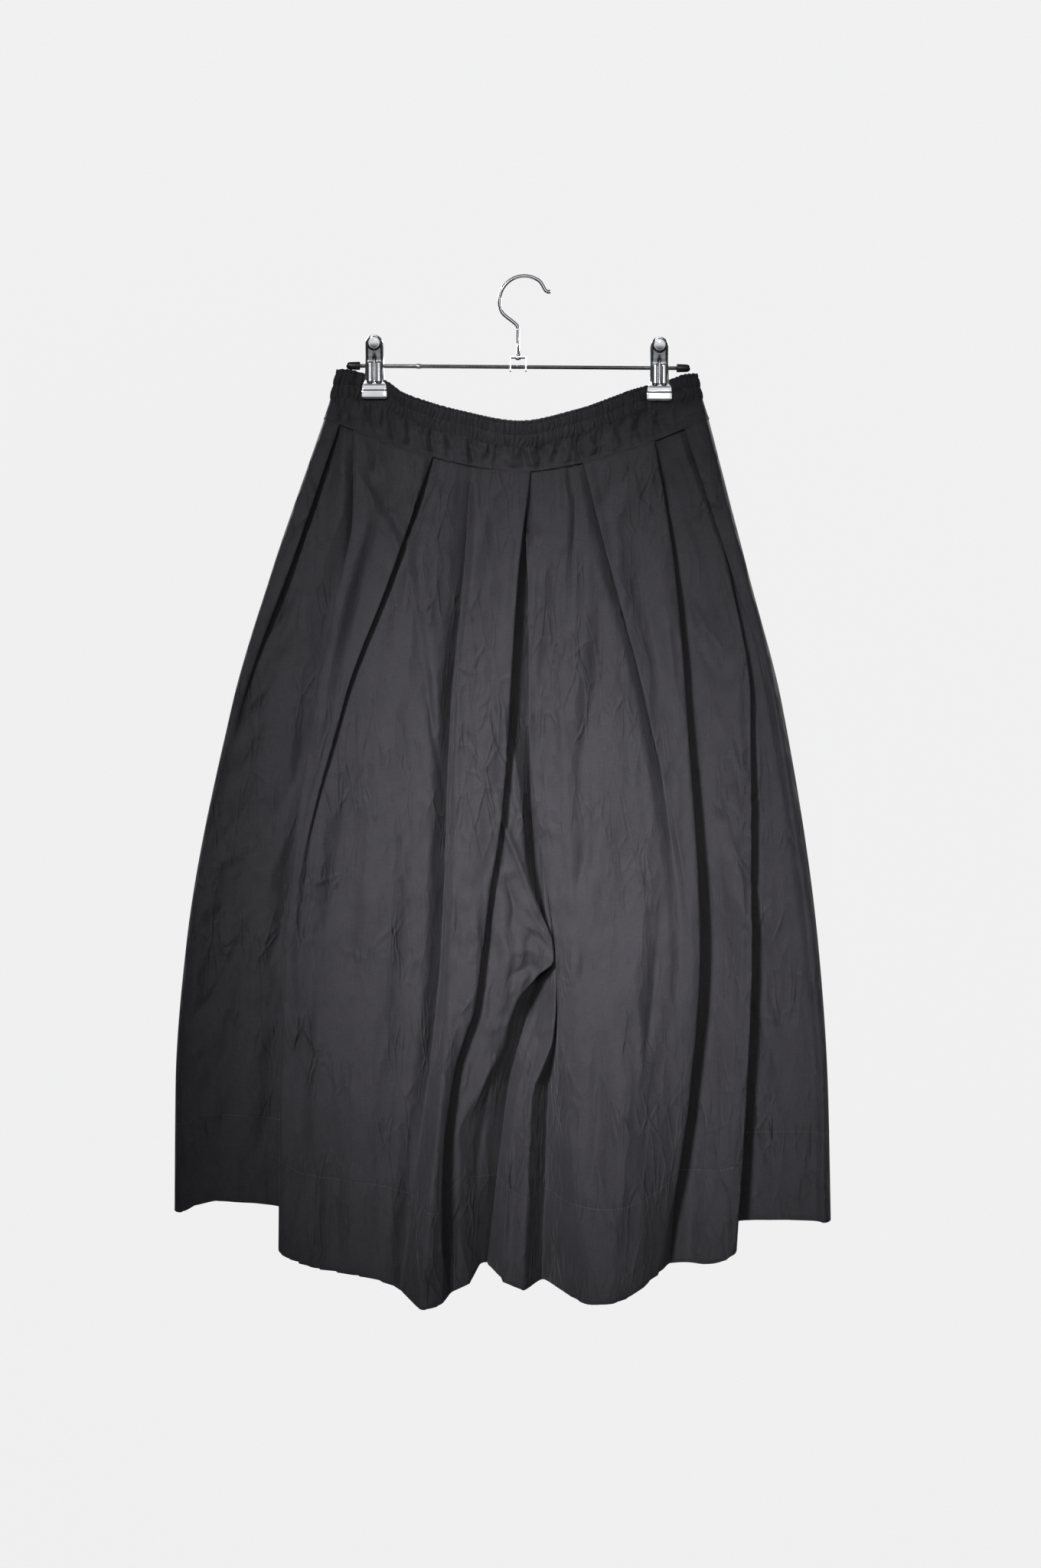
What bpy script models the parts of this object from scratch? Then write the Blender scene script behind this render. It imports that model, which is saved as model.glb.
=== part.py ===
"""Wide pleated culottes in black cotton, hung by the waist from a steel clip hanger.

The frame is in metres, +Z up, with the garment's front towards -Y. The origin is the inside top of the
hanger's hook, where a rail or a peg carries it. The tables below are in millimetres, heights in them
are depths below the origin, and "left" and "right" are as seen from the front.
"""

import math
from collections import namedtuple

import bmesh
import bpy
from mathutils import Vector

MM = 0.001
FRONT, BACK = -1, 1
LEFT, RIGHT = -1, 1

# ---------------------------------------------------------------- cloth
CLOTH_WALL = 1.2          # wall of the leg cloth and the yoke
SEAM_GAP = 0.15           # each piece ends this far from its seam line
CROTCH_GAP = 0.9          # the same where four pieces meet
SEAM_RUN = 3.0            # length of the straight run up to a seam
LEG_ROWS = 12             # sections down a leg
SHARP_BEND = 6.0          # a fold rounded by less than this takes three points, a softer one two

# Depths that the fold tables name
HIP, THIGH, CROTCH, KNEE = 280.0, 400.0, 630.0, 760.0

# Waistband: an elastic casing with two channels, gathered into ribs, over a plain inside
Waist = namedtuple("Waist", "x top casing_end hollow")
WAIST = (
    Waist(-179, 87, 114, 3.4),
    Waist(-164, 87, 114, 2.6),
    Waist(-150, 90, 117, 0.5),
    Waist(-126, 98, 124, 0.5),
    Waist(-112, 108, 132, 2.0),
    Waist(-92, 116, 141, 4.5),
    Waist(-62, 125, 149, 6.8),
    Waist(-1, 136.6, 160.6, 8.0),
    Waist(53, 125, 149, 6.8),
    Waist(86, 113, 138, 4.5),
    Waist(104, 106, 131, 2.0),
    Waist(118, 102, 127, 0.5),
    Waist(142, 95.5, 121, 0.5),
    Waist(155, 91.5, 116, 2.6),
    Waist(170, 90.7, 114, 3.4),
)
WAIST_LEFT, WAIST_RIGHT = -173.0, 165.0          # side folds of the waistband's top edge
CASING_LEFT, CASING_RIGHT = -179.0, 170.0        # side folds of its lower edge
YOKE_LEFT, YOKE_RIGHT = -185.5, 176.5            # side folds at the pleat seam
FRONT_RIBS, BACK_RIBS = 84, 54
RIB_HEIGHT = 1.1          # how far a rib stands out of the valley beside it
CASING_WALL = 1.3         # casing wall in the valleys between ribs
CHANNEL_PUFF = 0.4        # how far the elastic fills out each channel between its stitch rows
INSIDE_RIBS = 2           # ribs to each flat of the plain inside
YOKE_DROP = 10.0          # the hollow's half depth at the pleat seam
YOKE_GATHERS = 16
YOKE_WAVE = 1.1
YOKE_GAP_ABOVE, YOKE_GAP_BELOW = 0.8, 0.6
BACK_DROP = 3.0           # the waistband's back hangs this much higher at the middle

# Pleat seam: the curve where the yoke ends and the leg pleats start
SEAM_CENTRE = 183.0
SEAM_RISE = 51.0
SEAM_POWER = 1.6

# One row for each fold line: x at six depths, y at four, the depth of its hem and its rounding
Fold = namedtuple(
    "Fold", "name seam hip thigh crotch knee hem y_seam y_hip y_crotch y_hem hem_end bend"
)

SIDE_SEAM_LEFT = Fold("side_seam_left", -166, -209, -239, -269, -282, -288, -8, -8, -12, -9, 866, 0)
SIDE_SEAM_RIGHT = Fold("side_seam_right", 141, 186, 207, 208, 203, 194, -9, -16, -35, -42, 914, 0)

# The front left leg, from its side seam to its inner edge
FRONT_LEFT = (
    Fold("side_ridge", -159.5, -194, -221, -243, -253, -256, -8.5, -14, -15, -12, 867, 14),
    Fold("recess", -153, -161, -184, -209, -212, -213, -8, -9, -12, -10, 874, 4),
    Fold("panel_edge", -163, -172, -194, -220, -224, -225, -12.6, -24, -43, -50, 908, 5),
    Fold("panel_ridge", -149, -160, -182, -217, -218, -217, -13.2, -28, -47, -54, 911, 12),
    Fold("panel_crease", -117, -143, -173, -214, -212, -209, -12.2, -25, -47, -55, 915, 12),
    Fold("flap_edge", -81, -119, -163, -211, -206, -201, -12.6, -28, -47, -55, 918, 4),
    Fold("flap_under", -91, -133, -174, -204, -196, -190, -8, -14, -44, -56, 921, 4),
    Fold("flap_shadow", -78, -113, -143, -168, -180, -180, -8, -14, -44, -56, 923, 10),
    Fold("ridge_1", -70, -104, -119, -131, -143, -160, -10, -22, -53, -59, 926, 14),
    Fold("valley_1", -63, -93, -95, -99, -114, -138, -8.5, -19, -46, -56, 929, 10),
    Fold("ridge_2", -56, -78, -80, -85, -101, -122, -11, -26, -54, -61, 934, 10),
    Fold("valley_2", -47, -54, -65, -73, -86, -110, -8, -15, -42, -57, 941, 5),
    Fold("ridge_3", -39, -44, -53, -58, -70, -92, -12, -26, -56, -80, 956, 8),
    Fold("panel_soft", -15, -23, -32, -48, -63, -80, -12.4, -27, -54, -77, 954, 10),
    Fold("centre_edge", 11, -1, -10, -37, -56, -68, -14.5, -28, -52, -72, 951, 4),
    Fold("centre_under", 0, -15, -24, -47, -62, -60, -8, -12, -28, -56, 946, 4),
    Fold("inner_floor", 5.2, -7, -12, -20, -42, -47, -8, -10.5, -16, -36, 937, 1),
    Fold("inner_ridge", 6.8, -2, 0, 4, -22, -38, -8, -10, -20, -14, 923, 1),
)
FRONT_LEFT_INNER = Fold("inner_seam", 11, 4, 7, 17, -8.6, -31, -8, -9, 0, 0, 925, 0)

# The front right leg, from its inner edge to its side seam
FRONT_RIGHT_INNER = Fold("inner_seam", 11, 4, 7, 17, -7.4, -27, -8, -9, 0, 0, 924, 0)
FRONT_RIGHT = (
    Fold("inner_ridge", 15.5, 9, 12, 28, -11, -12, -8, -10, -24, -20, 938, 4),
    Fold("inner_valley", 22, 16, 19, 38, 14, 8, -8, -11, -12, -10, 938, 4),
    Fold("centre_edge", 13, 4, 8, 34, 46, 38, -12.6, -27, -40, -44, 945, 5),
    Fold("valley_1", 32, 34, 29, 42, 55, 47, -9, -23, -46, -58, 948, 8),
    Fold("ridge_1", 40, 46, 43, 49, 63, 55, -11.5, -28, -50, -66, 951, 10),
    Fold("valley_2", 48, 62, 64, 58, 72, 64, -8, -19, -49, -70, 952, 8),
    Fold("front_ridge", 56, 73, 85, 86, 88, 78, -8, -20, -56, -76, 951, 20),
    Fold("flap_under", 69, 98, 127, 146, 122, 100, -8, -13, -50, -70, 944, 4),
    Fold("flap_edge", 57, 84, 115, 156, 134, 114, -12.6, -28, -50, -60, 936, 4),
    Fold("panel_crease", 92, 115, 135, 161, 145, 122, -12.8, -25, -49, -54, 930, 12),
    Fold("panel_edge", 127, 145, 154, 166, 157, 130, -12.6, -27, -46, -46, 924, 5),
    Fold("panel_under", 117, 136, 146, 157, 150, 139, -8, -12, -18, -30, 921, 5),
    Fold("side_valley", 127, 149, 162, 172, 166, 153, -8, -12, -17, -29, 921, 8),
    Fold("side_ridge", 135, 165, 190, 192, 190, 178, -9, -19, -37, -46, 922, 15),
)

# The back cloth comes round each side fold to a side seam that lies a little way in on the front.
RIGHT_WRAP = (
    Fold("panel_edge", 147, 194, 215, 215, 210, 200, -9, -15, -34, -40, 911, 4),
    Fold("panel_under", 150, 197, 207, 207, 202, 200, -8, -8, -11, -10, 885, 4),
    Fold("recess", 153.5, 201, 221, 243, 250, 250, -8, -8, -9, -6, 885, 2),
    Fold("strip_under", 162, 209, 231, 264, 276, 278, -8, -7, -6, -3, 886, 4),
    Fold("strip_edge", 151, 196, 236, 270, 282, 284, -12.6, -14, -8, -5, 887, 4),
    Fold("side_front", 173, 211.5, 242, 277, 286, 289, -12, -13, -6, -3, 887, 4),
    Fold("side_fold", 177, 214.5, 246, 281, 290, 293, 0, 0, 4, 7, 887, 6),
)
LEFT_WRAP = (
    Fold("side_fold", -186, -236, -272, -317, -327, -328, 0, 0, 4, 6, 878, 6),
    Fold("side_front", -182, -233, -269, -312, -322, -323, -12, -12, -6, -3, 878, 4),
    Fold("strip_edge", -168, -214, -257, -304, -314, -315, -12.6, -14, -9, -6, 877, 4),
    Fold("strip_under", -178, -221, -260, -290, -302, -304, -8, -7, -9, -8, 868, 4),
)

# Folds of each back leg, from the centre back (0) to the side fold (1), the same on both legs
BackFold = namedtuple("BackFold", "name seam hip crotch hem y_seam y_hip y_crotch y_hem hem_end bend")
BACK_FOLDS = (
    BackFold("centre_under", 0.14, 0.13, 0.17, 0.14, 8, 11, 18, 14, 910, 4),
    BackFold("centre_edge", 0.075, 0.05, 0.10, 0.09, 12.6, 20, 28, 26, 914, 4),
    BackFold("ridge_1", 0.26, 0.25, 0.27, 0.28, 12, 20, 32, 36, 901, 12),
    BackFold("valley_1", 0.37, 0.35, 0.37, 0.40, 8.5, 13, 23, 27, 894, 8),
    BackFold("ridge_2", 0.47, 0.46, 0.48, 0.50, 8.5, 19, 31, 35, 888, 12),
    BackFold("flap_under", 0.64, 0.64, 0.62, 0.61, 8, 12, 23, 28, 881, 4),
    BackFold("flap_edge", 0.59, 0.57, 0.58, 0.58, 12.6, 21, 31, 35, 883, 4),
    BackFold("ridge_3", 0.76, 0.74, 0.73, 0.72, 12, 19, 31, 34, 874, 12),
    BackFold("valley_2", 0.86, 0.85, 0.84, 0.84, 8.5, 12, 20, 22, 868, 8),
)
BACK_LEFT_INNER = Fold("inner_seam", 0, 3, 7, 17, -8.6, -31, 8, 10, 0, 0, 925, 0)
BACK_RIGHT_INNER = Fold("inner_seam", 0, 3, 7, 17, -7.4, -27, 8, 10, 0, 0, 924, 0)

# ---------------------------------------------------------------- hanger
WIRE_RADIUS = 1.6
HOOK_CENTRE_X, HOOK_CENTRE_Z = 2.9, -21.6
HOOK_RADIUS = 23.4
HOOK_FROM, HOOK_TO = 211.0, 22.0                 # the arc runs over the top between these angles
HOOK_TIP_RADIUS = 2.7
STEM_X = -2.9
STEM_TOP_Z = -50.0
COLLAR_RADIUS = 2.6

ROD_RADIUS = 1.8
ROD_LEFT, ROD_RIGHT = -160.0, 155.0
ROD_Z = -83.9                                    # at x = 0
ROD_SLOPE = -0.0072
CRIMP_X = -96.5
FIT = 0.3                                        # clearance between hanger parts
CAP_RADIUS = 3.9
CAP_LENGTH = 12.8
CAP_LEFT, CAP_RIGHT = -164.5, 159.0

BRACKET_TOP = -74.2
BRACKET_END = -87.8
BRACKET_WIDTH = 15.8
BRACKET_DEPTH = 9.0
BRACKET_WALL = 1.2

CLIP_LEFT_X, CLIP_RIGHT_X = -138.0, 129.8
LEAF_WALL = 0.9
SPRING_WALL = 1.6
SPRING_LENGTH = 11.0
# A clip leaf down its length: height above the rod, half width, distance of its inside from the
# rod's plane, and how far its two stiffening ridges stand out.
Leaf = namedtuple("Leaf", "z half_width y ridge")
LEAF = (
    Leaf(27.6, 5.0, 9.6, 0.0),
    Leaf(26.0, 7.4, 9.5, 0.0),
    Leaf(19.0, 7.7, 8.4, 0.0),
    Leaf(9.0, 7.8, 5.9, 0.0),
    Leaf(3.0, 7.9, 4.4, 0.0),
    Leaf(-2.0, 8.2, 4.1, 1.0),
    Leaf(-14.0, 8.8, 3.9, 1.0),
    Leaf(-17.0, 9.4, 3.9, 0.0),
    Leaf(-21.0, 11.6, 3.6, 0.0),
    Leaf(-29.5, 11.7, 3.6, 0.0),
    Leaf(-31.5, 11.6, 4.4, 0.0),
)
LEAF_COLUMNS = (-1.0, -0.55, -0.38, -0.21, 0.21, 0.38, 0.55, 1.0)
LEAF_RIDGES = (2, 5)


def curve(stations, values, at):
    """The value of a smooth curve through values at rising stations, with no overshoot."""
    slopes = [(b - a) / (k - h) for a, b, h, k in zip(values, values[1:], stations, stations[1:])]
    tangents = [slopes[0]]
    for before, after in zip(slopes, slopes[1:]):
        same_way = before * after > 0
        tangents.append(2 * before * after / (before + after) if same_way else 0.0)
    tangents.append(slopes[-1])
    i = 0
    while i < len(slopes) - 1 and at > stations[i + 1]:
        i += 1
    span = stations[i + 1] - stations[i]
    t = (at - stations[i]) / span
    return (
        values[i] * (1 + 2 * t) * (1 - t) ** 2
        + values[i + 1] * t * t * (3 - 2 * t)
        + tangents[i] * span * t * (1 - t) ** 2
        - tangents[i + 1] * span * t * t * (1 - t)
    )


def pleat_seam(x):
    """Depth of the pleat seam, which dips between the clips."""
    half = -YOKE_LEFT if x < 0 else YOKE_RIGHT
    return SEAM_CENTRE - SEAM_RISE * (abs(x) / half) ** SEAM_POWER


def fold_point(fold, share):
    """The point of a fold line at a share of the way from the pleat seam to the hem."""
    top = pleat_seam(fold.seam) + SEAM_GAP
    depth = top + (fold.hem_end - top) * share
    x = curve(
        (top, HIP, THIGH, CROTCH, KNEE, fold.hem_end),
        (fold.seam, fold.hip, fold.thigh, fold.crotch, fold.knee, fold.hem),
        depth,
    )
    y = curve(
        (top, HIP, CROTCH, fold.hem_end),
        (fold.y_seam, fold.y_hip, fold.y_crotch, fold.y_hem),
        depth,
    )
    return Vector((x, y, -depth))


def rounded(corners, bends):
    """Points along a line through the corners, with each inner corner rounded by a short arc."""
    points = [corners[0]]
    for before, corner, after, bend in zip(corners, corners[1:], corners[2:], bends[1:]):
        start = corner.lerp(before, min(0.46, bend / (corner - before).length))
        end = corner.lerp(after, min(0.46, bend / (corner - after).length))
        shares = (0.0, 0.5, 1.0) if bend < SHARP_BEND else (0.12, 0.88)
        for s in shares:
            points.append(start * (1 - s) ** 2 + corner * 2 * s * (1 - s) + end * s * s)
    return points + [corners[-1]]


def side_seam_end(fold, share, neighbour):
    """A piece's last two corners at a side seam: its end, and the start of the run up to it."""
    point, toward = fold_point(fold, share), fold_point(neighbour, share)
    toward.y = point.y
    out = (toward - point).normalized()
    return point + out * SEAM_GAP, point + out * SEAM_RUN


def inner_end(fold, share, side, face):
    """A leg piece's last two corners at its inner edge: its end, and the start of the run up to it.

    Above the crotch the piece meets its mirror at the centre seam and runs along X, and below it
    meets the other half of its own leg at the inseam and runs along Y.
    """
    point = fold_point(fold, share)
    blend = 60.0
    drop = -point.z - CROTCH
    above = max(0.0, min(1.0, -drop / blend))
    below = max(0.0, min(1.0, drop / blend))
    point.x += side * (SEAM_GAP * above + CROTCH_GAP * (1 - above))
    point.y += face * (SEAM_GAP * below + CROTCH_GAP * (1 - below)) * (1 - above)
    turn = math.radians(90) * (1 - above + below) / 2
    run = Vector((side * math.cos(turn), face * math.sin(turn), 0)) * SEAM_RUN
    return point, point + run


def grid_faces(rows, columns):
    return [
        (r * columns + c, (r + 1) * columns + c, (r + 1) * columns + c + 1, r * columns + c + 1)
        for r in range(rows - 1)
        for c in range(columns - 1)
    ]


def sheet_object(name, rows, wall, material):
    """An open surface through rows of points, given its wall by Solidify."""
    obj = mesh_object(name, [p for row in rows for p in row], grid_faces(len(rows), len(rows[0])), material)
    solidify = obj.modifiers.new("wall", "SOLIDIFY")
    solidify.thickness = wall * MM
    solidify.offset = 0.0
    solidify.use_even_offset = False
    return obj


def mesh_object(name, points, faces, material):
    mesh = bpy.data.meshes.new(name)
    mesh.from_pydata([tuple(p * MM) for p in points], [], faces)
    work = bmesh.new()
    work.from_mesh(mesh)
    bmesh.ops.recalc_face_normals(work, faces=work.faces)
    work.to_mesh(mesh)
    work.free()
    obj = bpy.data.objects.new(name, mesh)
    mesh.materials.append(material)
    PARTS.objects.link(obj)
    return obj


def leg_piece(name, first, folds, last, material):
    """A leg piece over its fold lines; first and last give its two edges at a share down the leg."""
    bends = [0, 2] + [f.bend for f in folds] + [2, 0]
    rows = []
    for r in range(LEG_ROWS + 1):
        share = r / LEG_ROWS
        end, run = first(share)
        last_end, last_run = last(share)
        corners = [end, run] + [fold_point(f, share) for f in folds] + [last_run, last_end]
        rows.append(rounded(corners, bends))
    sheet_object(name, rows, CLOTH_WALL, material)


def back_fold(row, inner, side_fold):
    """A fold line of a back leg, placed between the centre back and the side fold."""
    thigh, knee = (row.hip + row.crotch) / 2, (row.crotch + row.hem) / 2
    across = (row.seam, row.hip, thigh, row.crotch, knee, row.hem)
    xs = [a + (b - a) * s for a, b, s in zip(inner[1:7], side_fold[1:7], across)]
    return Fold(row.name, *xs, row.y_seam, row.y_hip, row.y_crotch, row.y_hem, row.hem_end, row.bend)


def legs(material):
    leg_piece(
        "leg_front_left",
        lambda s: side_seam_end(SIDE_SEAM_LEFT, s, FRONT_LEFT[0]),
        FRONT_LEFT,
        lambda s: inner_end(FRONT_LEFT_INNER, s, LEFT, FRONT),
        material,
    )
    leg_piece(
        "leg_front_right",
        lambda s: inner_end(FRONT_RIGHT_INNER, s, RIGHT, FRONT),
        FRONT_RIGHT,
        lambda s: side_seam_end(SIDE_SEAM_RIGHT, s, FRONT_RIGHT[-1]),
        material,
    )
    right = [back_fold(row, BACK_RIGHT_INNER, RIGHT_WRAP[-1]) for row in reversed(BACK_FOLDS)]
    leg_piece(
        "leg_back_right",
        lambda s: side_seam_end(SIDE_SEAM_RIGHT, s, RIGHT_WRAP[0]),
        list(RIGHT_WRAP) + right,
        lambda s: inner_end(BACK_RIGHT_INNER, s, RIGHT, BACK),
        material,
    )
    left = [back_fold(row, BACK_LEFT_INNER, LEFT_WRAP[0]) for row in BACK_FOLDS]
    leg_piece(
        "leg_back_left",
        lambda s: inner_end(BACK_LEFT_INNER, s, LEFT, BACK),
        left + list(LEFT_WRAP),
        lambda s: side_seam_end(SIDE_SEAM_LEFT, s, LEFT_WRAP[-1]),
        material,
    )


def waist_value(column, x):
    return curve([w.x for w in WAIST], [getattr(w, column) for w in WAIST], x)


def half_loop(left, right, hollow_at, depth_at, face, count):
    """Evenly spaced (point, outward direction) pairs along one half of a flattened loop.

    The half runs from the left side fold to the right one, rounded into each of them.
    """
    dense = []
    steps = 600
    for i in range(steps + 1):
        x = (left + right) / 2 - (right - left) / 2 * math.cos(math.pi * i / steps)
        hollow = hollow_at(x)
        reach = min(1.0, min(x - left, right - x) / max(hollow, 2.0))
        y = SEAM_GAP + (hollow - SEAM_GAP) * math.sqrt(max(0.0, 1 - (1 - reach) ** 2))
        dense.append(Vector((x, face * y, -depth_at(x))))
    run = [0.0]
    for a, b in zip(dense, dense[1:]):
        run.append(run[-1] + (b - a).length)
    row = []
    i = 0
    for k in range(count + 1):
        goal = run[-1] * k / count
        while i < steps - 1 and run[i + 1] < goal:
            i += 1
        share = (goal - run[i]) / max(run[i + 1] - run[i], 1e-9)
        along = (dense[i + 1] - dense[i]).normalized()
        out = along.cross(Vector((0, 0, 1))) if face == FRONT else Vector((0, 0, 1)).cross(along)
        row.append((dense[i].lerp(dense[i + 1], share), out.normalized()))
    for end, side in ((0, -1), (-1, 1)):
        row[end] = (row[end][0], Vector((side, 0, 0)))
    return row


def casing(name, face, ribs, levels, material):
    """One half of the elastic casing: ribs raised on the outside of a wall with a plain inside."""
    count = ribs * 2
    outer, inner = [], []
    for level, puff, rib in levels:
        left = WAIST_LEFT + (CASING_LEFT - WAIST_LEFT) * level
        right = WAIST_RIGHT + (CASING_RIGHT - WAIST_RIGHT) * level
        row = half_loop(
            left,
            right,
            lambda x: waist_value("hollow", x),
            lambda x: casing_depth(x, level, face),
            face,
            count,
        )
        line = []
        for k, (point, out) in enumerate(row):
            uneven = 0.85 + 0.15 * math.sin(k * 1.7 + face)
            raised = rib * uneven if k % 2 and 0 < k < count else 0.0
            line.append(point + out * (CASING_WALL + puff + raised))
        outer.append(line)
        if level in (0.0, 1.0):
            inner.append([p for p, _ in row][:: INSIDE_RIBS * 2])
    points = [p for line in outer + inner for p in line]
    columns, plain = count + 1, len(inner[0])
    faces = grid_faces(len(outer), columns)
    start = len(outer) * columns
    for c in range(plain - 1):
        faces.append((start + c, start + c + 1, start + plain + c + 1, start + plain + c))
    for line, base in ((0, start), ((len(outer) - 1) * columns, start + plain)):
        for c in range(plain - 1):
            for k in range(INSIDE_RIBS * 2):
                a = line + c * INSIDE_RIBS * 2 + k
                faces.append((a, a + 1, base + c if k < INSIDE_RIBS else base + c + 1))
            faces.append((line + (2 * c + 1) * INSIDE_RIBS, base + c, base + c + 1))
    for column, end in ((0, start), (columns - 1, start + plain - 1)):
        edge = [column + r * columns for r in range(len(outer))]
        faces.append((*edge, end + plain, end))
    mesh_object(name, points, faces, material)


def casing_depth(x, level, face):
    """Depth of the casing at a share of its height, from the top edge (0) to the lower stitch row (1)."""
    depth = waist_value("top", x) * (1 - level) + waist_value("casing_end", x) * level
    middle = max(0.0, 1 - (x / 100.0) ** 2)
    return depth - (BACK_DROP * middle * (1 - level) if face == BACK else 0.0)


# Level down the casing, how far the channel there is puffed out, and how high its ribs stand
FRONT_LEVELS = (
    (0.0, 0.0, RIB_HEIGHT),
    (0.27, CHANNEL_PUFF, RIB_HEIGHT),
    (0.52, 0.0, 0.5 * RIB_HEIGHT),
    (0.77, CHANNEL_PUFF, RIB_HEIGHT),
    (1.0, 0.0, 0.7 * RIB_HEIGHT),
)
BACK_LEVELS = (FRONT_LEVELS[0], FRONT_LEVELS[2], FRONT_LEVELS[4])


def yoke(name, face, material):
    """The smooth band between the casing and the pleat seam, with shallow uneven gathers."""
    count = YOKE_GATHERS * 2
    rows = []
    levels = (0.0, 0.35, 0.7, 1.0)
    for level in levels:
        left = CASING_LEFT + (YOKE_LEFT - CASING_LEFT) * level
        right = CASING_RIGHT + (YOKE_RIGHT - CASING_RIGHT) * level

        def hollow(x):
            upper = waist_value("hollow", x) + CASING_WALL * 0.6
            return upper + (YOKE_DROP - upper) * level

        def depth(x):
            upper = waist_value("casing_end", x) + YOKE_GAP_ABOVE
            return upper + (pleat_seam(x) - YOKE_GAP_BELOW - upper) * level

        row = half_loop(left, right, hollow, depth, face, count)
        line = []
        for k, (point, out) in enumerate(row):
            wave = YOKE_WAVE * math.sin(math.pi * level) * (1 if k % 2 else -0.4)
            uneven = 0.7 + 0.3 * math.sin(k * 2.3 + face)
            line.append(point + out * wave * uneven if 0 < k < count else point)
        turned = Vector((0, face * SEAM_RUN / 2, 0))
        line.insert(1, line[0] + turned)
        line.insert(-1, line[-1] + turned)
        rows.append(line)
    sheet_object(name, rows, CLOTH_WALL, material)


def ring(centre, radius, across, up, sides):
    return [
        centre
        + across * radius * math.cos(2 * math.pi * k / sides)
        + up * radius * math.sin(2 * math.pi * k / sides)
        for k in range(sides)
    ]


def skinned(name, rings, material, looped=False):
    """A closed body through rings of points, with its two ends capped or joined to each other."""
    sides = len(rings[0])
    points = [p for r in rings for p in r]
    faces = []
    spans = len(rings) if looped else len(rings) - 1
    for r in range(spans):
        a, b = r * sides, ((r + 1) % len(rings)) * sides
        faces += [(a + k, a + (k + 1) % sides, b + (k + 1) % sides, b + k) for k in range(sides)]
    if not looped:
        faces.append(tuple(range(sides)))
        faces.append(tuple(range(len(points) - sides, len(points))))
    return mesh_object(name, points, faces, material)


def rod_point(x):
    return Vector((x, 0, ROD_Z + ROD_SLOPE * x))


def spun(name, start, profile, sides, material, looped=False):
    """A body turned about the rod's axis: profile pairs are (distance from start along it, radius)."""
    axis = Vector((1, 0, ROD_SLOPE)).normalized()
    across = Vector((0, 1, 0))
    up = axis.cross(across)
    rings = [ring(rod_point(start) + axis * d, r, across, up, sides) for d, r in profile]
    return skinned(name, rings, material, looped)


def hook(material):
    """The wire hook: a headed stem through the bracket, a collar, and an arc with a balled tip."""
    head = BRACKET_TOP - BRACKET_WALL - FIT
    collar = BRACKET_TOP + FIT
    stations = [
        (Vector((STEM_X, 0, head - 1.8)), 1.6),
        (Vector((STEM_X, 0, head - 1.4)), COLLAR_RADIUS),
        (Vector((STEM_X, 0, head)), COLLAR_RADIUS),
        (Vector((STEM_X, 0, head + 0.02)), WIRE_RADIUS),
        (Vector((STEM_X, 0, collar - 0.02)), WIRE_RADIUS),
        (Vector((STEM_X, 0, collar)), COLLAR_RADIUS),
        (Vector((STEM_X, 0, collar + 2.0)), COLLAR_RADIUS),
        (Vector((STEM_X, 0, collar + 2.6)), WIRE_RADIUS),
        (Vector((STEM_X, 0, STEM_TOP_Z)), WIRE_RADIUS),
        (Vector((STEM_X - 1.4, 0, STEM_TOP_Z + 4.6)), WIRE_RADIUS),
        (Vector((STEM_X - 6.4, 0, STEM_TOP_Z + 9.6)), WIRE_RADIUS),
    ]
    steps = 13
    centre = Vector((HOOK_CENTRE_X, 0, HOOK_CENTRE_Z))
    for i in range(steps + 1):
        angle = math.radians(HOOK_FROM + (HOOK_TO - HOOK_FROM) * i / steps)
        stations.append((centre + Vector((math.cos(angle), 0, math.sin(angle))) * HOOK_RADIUS, WIRE_RADIUS))
    tip, before = stations[-1][0], stations[-2][0]
    onward = (tip - before).normalized()
    for turn in (35, 65, 90, 120, 150, 172):
        a = math.radians(turn)
        ball = tip + onward * (HOOK_TIP_RADIUS - HOOK_TIP_RADIUS * math.cos(a))
        stations.append((ball, HOOK_TIP_RADIUS * math.sin(a)))
    rings = []
    for i, (point, radius) in enumerate(stations):
        a = stations[max(i - 1, 0)][0]
        b = stations[min(i + 1, len(stations) - 1)][0]
        along = (b - a).normalized()
        side = Vector((0, 1, 0))
        rings.append(ring(point, radius, side, along.cross(side), 8))
    skinned("hanger_hook", rings, material)


def box_object(name, low, high, material):
    points = [Vector((x, y, z)) for x in (low[0], high[0]) for y in (low[1], high[1]) for z in (low[2], high[2])]
    faces = [(0, 1, 3, 2), (4, 6, 7, 5), (0, 4, 5, 1), (2, 3, 7, 6), (0, 2, 6, 4), (1, 5, 7, 3)]
    return mesh_object(name, points, faces, material)


def cut(obj, cutter):
    boolean = obj.modifiers.new("hole", "BOOLEAN")
    boolean.operation = "DIFFERENCE"
    boolean.solver = "EXACT"
    boolean.object = cutter
    cutter.hide_render = True


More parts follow.
